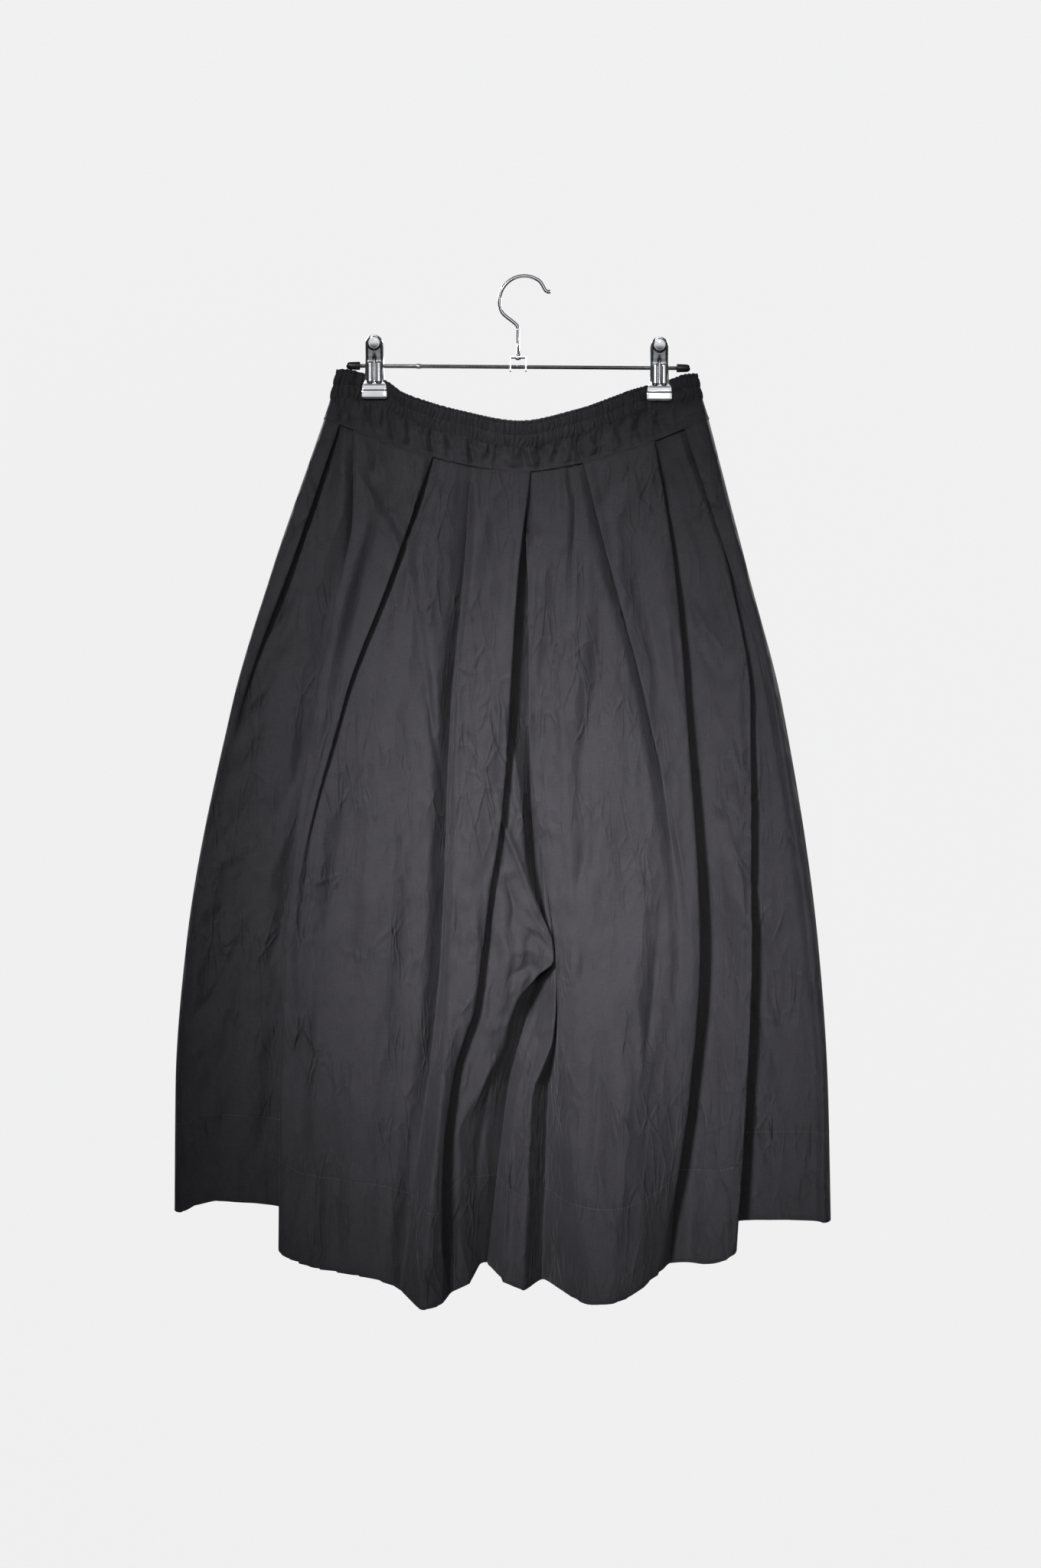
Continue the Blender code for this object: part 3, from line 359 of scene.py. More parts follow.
BACK_CREASES = creases(
    (6, -1.6, KEEN, -120, 190, -104, 228, -88, 262), (8, 1.5, ROUND, -150, 230, -160, 300, -176, 372),
    (9, -1.9, ROUND, -134, 330, -146, 410, -166, 500), (6, -1.8, KEEN, -220, 340, -236, 384, -258, 420),
    (7, 1.8, ROUND, -232, 420, -250, 470, -276, 512), (6, -2.0, KEEN, -240, 520, -262, 574, -292, 616),
    (8, 1.8, ROUND, -250, 610, -272, 668, -300, 716), (10, -2.2, ROUND, -190, 560, -204, 660, -214, 770),
    (9, 1.8, ROUND, -120, 600, -128, 700, -140, 812), (8, -1.7, ROUND, -78, 420, -84, 500, -96, 590),
    (6, -1.5, KEEN, -40, 210, -52, 256, -70, 300), (8, 1.5, ROUND, -26, 330, -30, 420, -42, 520),
    (6, -1.5, KEEN, 34, 196, 50, 236, 66, 268), (8, 1.6, ROUND, 62, 300, 74, 388, 82, 480),
    (9, -1.8, ROUND, 98, 260, 112, 350, 122, 440), (6, -1.6, KEEN, 128, 190, 112, 224, 98, 250),
    (6, 1.5, ROUND, 150, 280, 166, 340, 176, 400), (6, -2.0, KEEN, 180, 420, 200, 470, 228, 516),
    (8, 1.9, ROUND, 186, 520, 212, 580, 244, 630), (6, -2.0, KEEN, 192, 610, 220, 676, 252, 730),
    (9, -1.9, ROUND, 130, 560, 140, 650, 146, 760), (9, 1.8, ROUND, 70, 600, 78, 700, 84, 800),
    (7, -1.7, KEEN, 42, 540, 50, 620, 64, 700),
)

# Places where the cloth is more crumpled: centre, radius across and down, and how much
Crumple = namedtuple("Crumple", "x depth across down amount")
FRONT_CRUMPLES = tuple(Crumple(*row) for row in (
    (-285, 600, 40, 240, 0.4), (-225, 520, 30, 220, 0.35), (-130, 200, 60, 60, 0.5), (15, 250, 22, 60, 1.0),
    (-30, 640, 40, 110, 1.4), (20, 640, 36, 70, 1.8), (190, 400, 30, 120, 0.7), (230, 640, 40, 240, 0.6),
    (90, 200, 40, 50, 0.5),
))
BACK_CRUMPLES = tuple(Crumple(*row) for row in (
    (-270, 600, 60, 260, 1.0), (240, 600, 60, 260, 1.0), (0, 560, 60, 160, 0.8), (-120, 220, 80, 70, 0.5),
    (110, 220, 80, 70, 0.5),
))
CRUMPLE_EVERYWHERE, CRUMPLE_HEIGHT = 0.3, 1.8
DRIFT, DRIFT_SIZE = 5, 24  # how far crumple ridges wander off their line, and over what length
SKEW = 0.2                 # the upright crumples' lean off the vertical
LEAN, LEAN_OUT = 0.9, (150.0, 250.0)   # the side crumples' lean, and where across they take over
SIDES_APART = 500          # shifts the noise of one side against the other's
CREASE_GAIN = 2.3
SETTLE = 12.0              # relief fades in over this depth below the pleat seam

# Soft folds that hang from the gathers. Places across are taken back up to the waistband, so that the
# folds spread as the cloth does: size across there, length, height and the depth of their full height
Hanging = namedtuple("Hanging", "across down height grown")
HANGING = (Hanging(19, 230, 3.1, 330), Hanging(9, 150, 2.1, 230), Hanging(5, 60, 1.0, 190))
SPREAD_DEPTHS = (170, 280, 400, 630, 760, 950)
SPREAD = (176, 220, 256, 296, 306, 306)


def crease_relief(table, x, depth):
    """The height of a table's creases at each place."""
    relief = np.zeros_like(x)
    for crease in table:
        points = np.array(crease.path, float)
        steps = np.diff(points, axis=0)
        lengths = np.linalg.norm(steps, axis=1)
        reach = crease.width * 4
        low, high = points.min(0) - reach, points.max(0) + reach
        near = (x > low[0]) & (x < high[0]) & (depth > low[1]) & (depth < high[1])
        if not near.any():
            continue
        px, pd = x[near], depth[near]
        nearest = np.full(px.shape, 1e9)
        along = np.zeros(px.shape)
        run = 0.0
        for (ax, ad), (sx, sd), length in zip(points, steps, lengths):
            t = np.clip(((px - ax) * sx + (pd - ad) * sd) / length**2, 0, 1)
            away = np.hypot(px - ax - sx * t, pd - ad - sd * t)
            closer = away < nearest
            nearest = np.where(closer, away, nearest)
            along = np.where(closer, run + t * length, along)
            run += length
        fade = np.sin(math.pi * np.clip(along / run, 0.02, 0.98)) ** 0.7
        reached = nearest / crease.width
        if crease.form == ROUND:
            across = np.exp(-(reached**2))
        else:
            across = KEEN_GAIN * np.exp(-KEEN_FALL * reached)
        relief[near] += CREASE_GAIN * crease.height * fade * across
    return relief


def cloth_relief(x, depth, table, crumples, seed, flatness):
    """How far the cloth stands out of its folds' plain form at each place."""
    amount = np.full_like(x, CRUMPLE_EVERYWHERE)
    for c in crumples:
        amount += c.amount * np.exp(-(((x - c.x) / c.across) ** 2) - ((depth - c.depth) / c.down) ** 2)
    leaning = ease(np.abs(x), *LEAN_OUT)
    run = np.abs(x) * math.sin(LEAN) + depth * math.cos(LEAN) + SIDES_APART * np.sign(x)
    across = np.abs(x) * math.cos(LEAN) - depth * math.sin(LEAN)
    drift = DRIFT * noise(x, depth, DRIFT_SIZE, DRIFT_SIZE, seed + 9)
    upright = ridges(x + SKEW * depth + drift, depth, 11, 30, seed)
    upright += 0.5 * ridges(x + drift, depth, 6, 13, seed + 1)
    slanting = ridges(across + drift, run, 12, 44, seed + 5)
    slanting += 0.5 * ridges(across + drift, run, 7, 16, seed + 6)
    crumple = flatness * CRUMPLE_HEIGHT * amount * (upright * (1 - leaning) + slanting * leaning)
    hung_from = x * SPREAD[0] / np.interp(depth, SPREAD_DEPTHS, SPREAD)
    hanging = np.zeros_like(x)
    for k, fold in enumerate(HANGING):
        grown = ease(depth, pleat_seam(hung_from) - 60, fold.grown)
        hanging += fold.height * grown * noise(hung_from, depth, fold.across, fold.down, seed + 2 + k)
    settle = ease(depth - pleat_seam(x), 0.5, SETTLE)
    return settle * (crease_relief(table, x, depth) + crumple + hanging)


# ---------------------------------------------------------------- sections of the legs
def tucked(y):
    """The depth of a fold at the pleat seam, where the yoke's edge presses the pleats together."""
    return math.copysign(TUCK_Y + (abs(y) - TUCK_Y) * TUCK, y) if abs(y) > 6 else y


def drawn_curve(plain, drawn, at):
    """A curve through (place, value) stations, where drawn ones take the place of plain ones near them."""
    if drawn:
        plain = [s for s in plain if not drawn[0][0] <= s[0] <= drawn[-1][0]]
    return curve(*zip(*sorted(plain + drawn)), at)


def fold_line(fold, shares):
    """A fold line at shares of the way from the pleat seam to the hem."""
    top = pleat_seam(fold.seam) + SEAM_GAP
    depth = top + (fold.hem_end - top) * shares
    end = fold.hem_end
    across = list(zip((top, HIP, THIGH, CROTCH, KNEE, end), fold[1:7]))
    puffed = fold.y_seam + (fold.y_hip - fold.y_seam) * PUFF
    out = [(top, tucked(fold.y_seam)), (top + PUFF_DROP, puffed), (HIP, fold.y_hip), (CROTCH, fold.y_crotch),
           (end, fold.y_hem)]
    x = drawn_curve(across, [(d, x) for d, x, _ in fold.drawn], depth)
    y = drawn_curve(out, [(d, y) for d, _, y in fold.drawn], depth)
    return np.stack((x, y, -depth), axis=1)


def side_seam_end(fold, neighbour, lapped, shares):
    """A piece's side edge, as its end, the seam line and the start of the run up to it.

    A lapped piece's end lies under the piece beside it, as its seam allowance does.
    """
    point, toward = fold_line(fold, shares), fold_line(neighbour, shares)
    toward[:, 1] = point[:, 1]
    out = unit(toward - point)
    under = point - out * SEAM_LAP + (0, SEAM_UNDER, 0) if lapped else point + out * SEAM_GAP / 2
    return under, point + out * SEAM_GAP, point + out * SEAM_RUN


def inner_end(fold, side, face, lapped_above, lapped_below, shares):
    """The same for a leg's inner edge, which meets its mirror above the crotch and its back below.

    It runs along X at the centre seam and turns to run along Y at the inseam.
    """
    point = fold_line(fold, shares)
    drop = -point[:, 2] - CROTCH
    above = np.clip(-drop / TURN_OVER, 0, 1)
    below = np.clip(drop / TURN_OVER, 0, 1)
    past = ease(drop, *LEGS_PASS)
    point[:, 0] += side * (SEAM_GAP * above + CROTCH_GAP * (1 - above)) - side * LEGS_LAP * past
    point[:, 1] -= side * LEGS_APART * past
    point[:, 1] += face * (SEAM_GAP * below + CROTCH_GAP * (1 - below)) * (1 - above)
    turn = math.radians(90) * (1 - above + below) / 2
    run = np.stack((side * np.cos(turn), face * np.sin(turn), 0 * turn), axis=1)
    inward = np.stack((side * np.sin(turn), -face * np.cos(turn), 0 * turn), axis=1)
    lap = np.clip(lapped_above * (above + 0.5) + lapped_below * (below + 0.5) - 0.5, 0.02, 1)[:, None]
    under = point - run * SEAM_LAP * lap + inward * SEAM_UNDER * lap
    return under, point, point + run * SEAM_RUN


def back_fold(row, inner, side_fold):
    """A fold of the back, from its shares of the way between the inner seam and the side fold."""
    thigh, knee = (row.hip + row.crotch) / 2, (row.crotch + row.hem) / 2
    across = (row.seam, row.hip, thigh, row.crotch, knee, row.hem)
    xs = [a + (b - a) * s for a, b, s in zip(inner[1:7], side_fold[1:7], across)]
    return Fold(row.name, *xs, row.y_seam, row.y_hip, row.y_crotch, row.y_hem, row.hem_end, row.bend)


def section_grid(corners, bends):
    """Rows of points across a piece: straight runs between the lines of corners, an arc round each."""
    columns = [corners[0]]

    def run_to(goal):
        start = columns[-1]
        count = max(1, round(float(np.linalg.norm(goal - start, axis=1).max()) / PITCH))
        columns.extend(start + (goal - start) * k / count for k in range(1, count + 1))

    for before, corner, after, bend in zip(corners, corners[1:], corners[2:], bends[1:]):
        soft = bend * SOFT_BEND if bend > 6 else bend
        back, on = before - corner, after - corner
        start = corner + back * np.minimum(0.47, soft / np.linalg.norm(back, axis=1))[:, None]
        end = corner + on * np.minimum(0.47, soft / np.linalg.norm(on, axis=1))[:, None]
        run_to(start)
        for k in range(1, ARC_COLUMNS):
            s = k / (ARC_COLUMNS - 1)
            columns.append(start * (1 - s) ** 2 + corner * 2 * s * (1 - s) + end * s * s)
    run_to(corners[-1])
    return np.stack(columns, axis=1)


def outward(grid):
    """Unit normals of a grid of points, on the side that faces out of the garment."""
    down, across = np.gradient(grid, axis=0), np.gradient(grid, axis=1)
    return unit(np.cross(down, across))


def run_along(grid, axis):
    """The distance of each point of a grid from the grid's first edge, along rows or columns."""
    steps = np.linalg.norm(np.diff(grid, axis=axis), axis=2)
    pad = [(0, 0), (0, 0)]
    pad[axis] = (1, 0)
    return np.cumsum(np.pad(steps, pad), axis=axis)


def row_shares():
    """Shares down the leg, closer together about the hem's row of stitches."""
    above = np.linspace(0, HEM_SHARE - 0.004, int(LEG_ROWS * HEM_SHARE))
    stitched = HEM_SHARE + np.array((-0.002, -0.001, 0, 0.001, 0.002))
    below = np.linspace(HEM_SHARE + 0.004, 1, int(LEG_ROWS * (1 - HEM_SHARE)))
    return np.concatenate((above, stitched, below))


SHARES = row_shares()
HEM_ROW = int(np.argmin(np.abs(SHARES - HEM_SHARE)))
PUCKER, PUCKER_LENGTH, PUCKER_REACH = 0.9, 8.5, 8.0   # ripples of the cloth beside a seam
SEWN_IN, SEWN_WIDTH = 0.35, 0.0014   # how deep the hem's stitches draw the cloth in, and over what share
TUG, TUG_LENGTH, TUG_REACH = 0.3, 9, 0.012   # and the ripples beside them
OFF_MIDDLE = (0.5, 7.5)    # how far off the middle plane the relief of the front or back begins and is full
PUCKER_DROP = (2, 20)      # and how far below the pleat seam the ripples beside the seams do
HEM_KERNEL = np.bartlett(15)[1:-1] / np.bartlett(15).sum()


def leg_grid(first, folds, last, face):
    """The outer form of a leg piece, its relief included, as rows from the pleat seam to the hem."""
    corners = list(first(SHARES)) + [fold_line(f, SHARES) for f in folds] + list(last(SHARES))[::-1]
    bends = [0, 1, 2] + [f.bend for f in folds] + [2, 1, 0]
    grid = section_grid(corners, bends)
    if outward(grid)[LEG_ROWS // 3, :, 1].mean() * face < 0:
        grid = grid[:, ::-1]
    hem = grid[-1, :, 2]
    softened = np.convolve(np.pad(hem, 6, mode="edge"), HEM_KERNEL, mode="valid")
    from_end = np.minimum(np.arange(hem.size), np.arange(hem.size)[::-1])
    grid[..., 2] += (softened - hem) * ease(from_end, 0, 12) * SHARES[:, None] ** 8
    x, y, depth = grid[..., 0], grid[..., 1], -grid[..., 2]
    on_front, on_back = ease(-y, *OFF_MIDDLE), ease(y, *OFF_MIDDLE)
    steepness = np.abs(np.gradient(y, axis=1)) / (np.abs(np.gradient(x, axis=1)) + 0.05)
    flatness = 1 - STEEP_CALM * ease(steepness, *STEEP) * ease(depth, *STEEP_AT)
    relief = -on_front * cloth_relief(x, depth, FRONT_CREASES, FRONT_CRUMPLES, 11, flatness)
    relief += on_back * cloth_relief(x, depth, BACK_CREASES, BACK_CRUMPLES, 29, flatness)
    along = run_along(grid, 1)
    settle = ease(depth - pleat_seam(x), *PUCKER_DROP)
    phase = depth / PUCKER_LENGTH + 1.4 * noise(0 * depth, depth, 50, 40, 3)
    for from_seam in (along, along[:, -1:] - along):
        ripple = PUCKER * np.sin(2 * math.pi * phase) * np.exp(-from_seam / PUCKER_REACH)
        relief += np.sign(y) * ripple * settle * (on_front + on_back)
    sewn = np.exp(-(((SHARES - HEM_SHARE) / SEWN_WIDTH) ** 2))[:, None]
    tug = np.exp(-np.abs(SHARES - HEM_SHARE) / TUG_REACH)[:, None]
    pulled = TUG * np.sin(2 * math.pi * along / TUG_LENGTH + 2 * noise(along, depth, 30, 60, 8)) * tug
    relief += np.sign(y) * (on_front + on_back) * (pulled - SEWN_IN * sewn)
    grid[..., 1] += relief
    return grid


def turned_hem(grid):
    """The rows of the hem's inner band: round the edge and back up to its stitches."""
    out = outward(grid)
    edge = grid[-1] - out[-1] * HEM_INSET / 2
    edge[:, 2] -= HEM_INSET / 2
    rows = [edge]
    for share in HEM_TURNS:
        r = int(np.argmin(np.abs(SHARES - share)))
        rows.append(grid[r] - out[r] * HEM_INSET)
    return np.concatenate((grid, np.stack(rows)))


# ---------------------------------------------------------------- making meshes
def grid_faces(rows, columns, wrap=False):
    """The quads of a grid of points; wrap joins its last column to its first."""
    r, c = np.meshgrid(np.arange(rows - 1), np.arange(columns if wrap else columns - 1), indexing="ij")
    n = (c + 1) % columns
    quads = np.stack((r * columns + c, (r + 1) * columns + c, (r + 1) * columns + n, r * columns + n), -1)
    return quads.reshape(-1, 4)


def dressed(obj, finish):
    """An object with one finish, which rides on the part's one body."""
    obj.data.materials.clear()
    obj.data.materials.append(finish.material)
    bpy.context.scene.collection.objects.link(obj)
    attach(obj, "root")
    return obj


def mesh_piece(name, points, faces, finish):
    """A smooth mesh of points in millimetres."""
    mesh = bpy.data.meshes.new(name)
    mesh.from_pydata((np.asarray(points, float) * MM).tolist(), [], [tuple(f) for f in faces])
    mesh.shade_smooth()
    return dressed(bpy.data.objects.new(name, mesh), finish)


def shell_piece(name, grid, finish, thickness, node):
    """A grid of points made a thin shell, which takes a node's place."""
    obj = mesh_piece(name, grid.reshape(-1, 3), grid_faces(*grid.shape[:2]), finish)
    shell = obj.modifiers.new("shell", "SOLIDIFY")
    shell.thickness, shell.offset = thickness * MM, 0.0
    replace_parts(obj, node)
    return obj


def cloth_piece(name, grid, node, thickness=CLOTH):
    """A shell of cloth with its thread directions stored."""
    obj = shell_piece(name, grid, COTTON, thickness, node)
    thread = np.zeros(grid.shape)
    thread[..., 0], thread[..., 1] = run_along(grid, 1) * MM, run_along(grid, 0) * MM
    obj.data.attributes.new("thread", "FLOAT_VECTOR", "POINT").data.foreach_set("vector", thread.ravel())
    return obj


def turned_out(grid, face):
    """A grid with its columns in the order that turns its faces out of the garment."""
    return grid if face == FRONT else grid[:, ::-1]


# ---------------------------------------------------------------- materials
Finish = namedtuple("Finish", "material slot")


class Nodes:
    """The node tree of a material or the world, with short calls for the nodes that the finishes share."""

    def __init__(self, owner, shader="Principled BSDF"):
        owner.use_nodes = True
        self.owner, self.tree = owner, owner.node_tree
        self.shader = self.tree.nodes[shader]

    def put(self, node, inputs):
        """Sets a node's inputs, or joins them to the outputs that are given for them."""
        for key, value in inputs.items():
            if isinstance(value, bpy.types.NodeSocket):
                self.tree.links.new(value, node.inputs[key])
            else:
                node.inputs[key].default_value = value

    def add(self, kind, output, inputs, **settings):
        """An output of a new node."""
        node = self.tree.nodes.new("ShaderNode" + kind)
        for key, value in settings.items():
            setattr(node, key, value)
        self.put(node, inputs)
        return node.outputs[output]

    def finished(self, **inputs):
        """The material, with its shader's inputs set."""
        self.put(self.shader, {key.replace("_", " "): value for key, value in inputs.items()})
        return self.owner

    def place(self):
        return self.add("TexCoord", "Object", {})

    def mapped(self, place, scale, turn=0.0):
        """A place stretched, and turned about the line of sight of the front."""
        return self.add("Mapping", "Vector", {"Vector": place, "Scale": scale, "Rotation": (0, turn, 0)})

    def cloudy(self, place, scale, detail=3.0, roughness=0.55, output="Fac"):
        inputs = {"Vector": place, "Scale": scale, "Detail": detail, "Roughness": roughness}
        return self.add("TexNoise", output, inputs)

    def waves(self, place, scale, direction):
        return self.add("TexWave", "Fac", {"Vector": place, "Scale": scale}, bands_direction=direction)

    def drifting(self, place, wander):
        """A place moved about by some noise, which bends straight patterns out of line."""
        drift = self.cloudy(place, 30.0, 3.0, 0.5, "Color")
        inputs = {0: drift, 1: (wander,) * 3, 2: place}
        return self.add("VectorMath", "Vector", inputs, operation="MULTIPLY_ADD")

    def cells(self, place, scale, turn, feature):
        """Distances in cells stretched along the cloth."""
        inputs = {"Vector": self.mapped(place, scale, turn), "Scale": 1.0}
        return self.add("TexVoronoi", "Distance", inputs, feature=feature)

    def crease_lines(self, place, kept, scale, turn, width):
        """Thin straight creases along the edges of cells, where kept lets them through."""
        lines = self.ranged(self.cells(place, scale, turn, "DISTANCE_TO_EDGE"), 0, width, 1, 0)
        return self.combined("MULTIPLY", lines, kept)

    def ranged(self, value, low, high, to_low, to_high, **settings):
        inputs = {"Value": value, "From Min": low, "From Max": high, "To Min": to_low, "To Max": to_high}
        return self.add("MapRange", "Result", inputs, **settings)

    def combined(self, operation, a, b):
        return self.add("Math", "Value", {0: a, 1: b}, operation=operation)

    def coloured(self, value, dark, light):
        return self.add("Mix", 2, {"Factor": value, 6: (*dark, 1), 7: (*light, 1)}, data_type="RGBA")

    def bumped(self, height, distance, strength=1.0, over=None):
        inputs = {"Height": height, "Distance": distance, "Strength": strength}
        if over is not None:
            inputs["Normal"] = over
        return self.add("Bump", "Normal", inputs)


def new_material(name):
    return Nodes(bpy.data.materials.new(name))


COTTON_DARK, COTTON_LIGHT = (0.0155, 0.0148, 0.0172), (0.0335, 0.032, 0.0372)


def cotton():
    """Black cotton poplin: a fine plain weave with slubs, crinkled all over and faintly shiny."""
    m = new_material("black_cotton_poplin")
    threads = m.add("Attribute", "Vector", {}, attribute_name="thread")
    place = m.place()
    slubs = [m.cloudy(m.mapped(threads, scale), 1.0, 2.0) for scale in ((1500, 90, 1), (90, 1500, 1))]
    slubs = m.combined("ADD", *slubs)
    patches = m.cloudy(place, 22.0, 4.0)
    tone = m.combined("ADD", m.combined("MULTIPLY", slubs, 0.4), m.combined("MULTIPLY", patches, 0.35))
    weave = m.combined("MULTIPLY", m.waves(threads, 330.0, "X"), m.waves(threads, 330.0, "Y"))
    bent = m.drifting(place, 0.007)
    kept = m.ranged(m.cloudy(place, 17.0, 2.0), 0.46, 0.62, 0.1, 1)
    normal = m.bumped(m.cells(bent, (105, 105, 48), 0.0, "F1"), 0.0015, 0.8)
    for scale, turn, width, height in (
        ((52, 52, 13), 0.0, 0.07, 0.0010),
        ((38, 38, 13), 0.55, 0.06, 0.0009),
        ((42, 42, 15), -0.5, 0.06, 0.0009),
    ):
        normal = m.bumped(m.crease_lines(bent, kept, scale, turn, width), height, 0.8, normal)
    normal = m.bumped(slubs, 0.00022, 0.6, normal)
    return m.finished(
        Base_Color=m.coloured(m.ranged(tone, 0.35, 0.8, 0, 1), COTTON_DARK, COTTON_LIGHT),
        Roughness=m.ranged(patches, 0.3, 0.7, 0.62, 0.74),
        Normal=m.bumped(weave, 0.00008, 0.5, normal),
        Sheen_Weight=0.05, Sheen_Roughness=0.45, Sheen_Tint=(0.94, 0.92, 1.0, 1), Specular_IOR_Level=0.1,
    )


def thread():
    """Twisted black sewing thread, a little shinier than the cloth."""
    m = new_material("black_thread")
    twist = m.waves(m.place(), 900.0, "DIAGONAL")
    return m.finished(
        Base_Color=m.coloured(twist, (0.016, 0.016, 0.018), (0.04, 0.04, 0.044)),
        Normal=m.bumped(twist, 0.00006), Roughness=0.55, Sheen_Weight=0.2,
    )


def steel(name, colour, roughness, streaks, wear):
    """Bright steel with faint drawing marks, smears and worn spots in its roughness."""
    m = new_material(name)
    place = m.place()
    smears = m.cloudy(place, 60.0, 5.0)
    marks = m.cloudy(m.mapped(place, streaks), 1.0, 3.0)
    return m.finished(
        Base_Color=m.coloured(m.ranged(smears, 0.3, 0.75, 0, 1), tuple(c * 0.88 for c in colour), colour),
        Roughness=m.ranged(m.combined("ADD", smears, marks), 0.7, 1.3, roughness, roughness + wear),
        Normal=m.bumped(marks, 0.00004, 0.4), Metallic=1.0,
    )


def rubber():
    """Black dipped rubber, smooth and slightly glossy, with a fine orange-peel surface."""
    m = new_material("black_rubber_dip")
    place = m.place()
    dust = m.cloudy(place, 120.0, 4.0)
    return m.finished(
        Base_Color=m.coloured(m.ranged(dust, 0.4, 0.75, 0, 1), (0.012, 0.012, 0.013), (0.03, 0.03, 0.031)),
        Roughness=m.ranged(dust, 0.35, 0.7, 0.32, 0.5),
        Normal=m.bumped(m.cloudy(place, 900.0, 2.0), 0.0001, 0.5),
    )


def floor_finish():
    m = new_material("pale_floor")
    grain = m.cloudy(m.place(), 9.0, 5.0)
    return m.finished(
        Base_Color=m.coloured(grain, (0.80, 0.80, 0.805), (0.84, 0.84, 0.845)),
        Normal=m.bumped(grain, 0.0006, 0.3), Roughness=0.7,
    )


def backdrop_finish():
    m = new_material("pale_backdrop")
    shade = m.cloudy(m.place(), 0.12, 1.0)
    return m.finished(
        Base_Color=(0, 0, 0, 1),
        Emission_Color=m.coloured(shade, tuple(c * 0.97 for c in BACKDROP), BACKDROP),
        Emission_Strength=1.0, Specular_IOR_Level=0.0, Roughness=1.0,
    )


COTTON = Finish(cotton(), "black_cotton")
THREAD = Finish(thread(), "black_cotton")
CHROME = Finish(steel("chromed_steel", (0.9, 0.91, 0.94), 0.07, (40, 40, 900), 0.12), "chromed_steel")
PLATED = Finish(steel("plated_steel", (0.86, 0.86, 0.88), 0.2, (30, 900, 900), 0.16), "plated_steel")
RUBBER = Finish(rubber(), "black_rubber")


# ---------------------------------------------------------------- legs
def legs():
    """The four leg pieces and their grids, by name."""
    right_side = [back_fold(row, BACK_RIGHT_INNER, RIGHT_WRAP[-1]) for row in reversed(BACK_FOLDS)]
    left_side = [back_fold(row, BACK_LEFT_INNER, LEFT_WRAP[0]) for row in BACK_FOLDS]
    layout = {
        "leg_front_left": (
            partial(side_seam_end, SIDE_SEAM_LEFT, FRONT_LEFT[0], True), FRONT_LEFT,
            partial(inner_end, FRONT_LEFT_INNER, LEFT, FRONT, True, True), FRONT,
        ),
        "leg_front_right": (
            partial(inner_end, FRONT_RIGHT_INNER, RIGHT, FRONT, False, True), FRONT_RIGHT,
            partial(side_seam_end, SIDE_SEAM_RIGHT, FRONT_RIGHT[-1], True), FRONT,
        ),
        "leg_back_right": (
            partial(side_seam_end, SIDE_SEAM_RIGHT, RIGHT_WRAP[0], False), list(RIGHT_WRAP) + right_side,
            partial(inner_end, BACK_RIGHT_INNER, RIGHT, BACK, False, False), BACK,
        ),
        "leg_back_left": (
            partial(inner_end, BACK_LEFT_INNER, LEFT, BACK, True, False), left_side + list(LEFT_WRAP),
            partial(side_seam_end, SIDE_SEAM_LEFT, LEFT_WRAP[-1], False), BACK,
        ),
    }
    grids = {name: leg_grid(*parts) for name, parts in layout.items()}
    pieces = {name: cloth_piece(name + "_cloth", turned_hem(grid), name) for name, grid in grids.items()}
    return pieces, grids


# ---------------------------------------------------------------- waistband
def waist_value(column, x):
    """A column of the waist's table at any x."""
    return curve([w.x for w in WAIST], [getattr(w, column) for w in WAIST], x)


def half_loop(left, right, hollow_at, depth_at, face, count):
    """Evenly spaced points, and outward directions, along one half of a flattened loop."""
    turn = np.linspace(0, math.pi, 1500)
    x = (left + right) / 2 - (right - left) / 2 * np.cos(turn)
    hollow = hollow_at(x)
    reach = np.minimum(1.0, np.minimum(x - left, right - x) / np.maximum(hollow, 2.0))
    y = SEAM_GAP + (hollow - SEAM_GAP) * np.sqrt(np.maximum(0.0, 1 - (1 - reach) ** 2))
    dense = np.stack((x, face * y, -depth_at(x)), axis=1)
    run = path_run(dense)
    points = path_at(dense, run, np.linspace(0, run[-1], count + 1))
    out = outward_of_line(points, face)
    out[0], out[-1] = (-1, 0, 0), (1, 0, 0)
    return points, out


def casing_depth(x, level, face):
    """Depth of a level of the casing; its top edge sits a little higher in the middle of the back."""
    depth = waist_value("top", x) * (1 - level) + waist_value("casing_end", x) * level
    middle = np.maximum(0.0, 1 - (x / 100.0) ** 2)
    return depth - (BACK_RISE * middle * (1 - level) if face == BACK else 0.0)


RIB_COLUMNS = 8
CASING_ROWS = 26
STITCH_LEVELS = (0.13, 0.54, 0.985)
# Level, how far the cloth stands out of the plain inside there, and how high its ribs are
Profile = namedtuple("Profile", "level out rib")
CASING_PROFILE = tuple(Profile(*row) for row in (
    (0.00, 0.6, 2.0), (0.07, 0.8, 1.9), (0.13, 0.5, 1.2), (0.20, 1.0, 1.8), (0.33, 1.4, 2.0),
    (0.47, 1.0, 1.8), (0.54, 0.4, 1.2), (0.61, 1.0, 1.8), (0.76, 1.4, 2.0), (0.92, 1.0, 1.7),
    (0.985, 0.4, 1.2), (1.00, 0.5, 1.3),
))
TOP_EDGE = (0.45, 0.9, 0.35)   # the frilled top edge: out, rib and how far up
INSIDE_OUT, INSIDE_RIB = 0.3, 0.25   # the casing's plain inner layer
INSIDE_LEVELS = (0.0, 0.3, 0.65, 1.0)
CASING_CLOTH = 0.35
RIB_PRESSED, OUT_PRESSED = 0.6, 0.35   # how much of the ribs and of their standing out a clip presses away
FRILL, FRILL_LEVEL = 0.75, 0.1   # how far the top edge goes up and down with the ribs, and down to what level


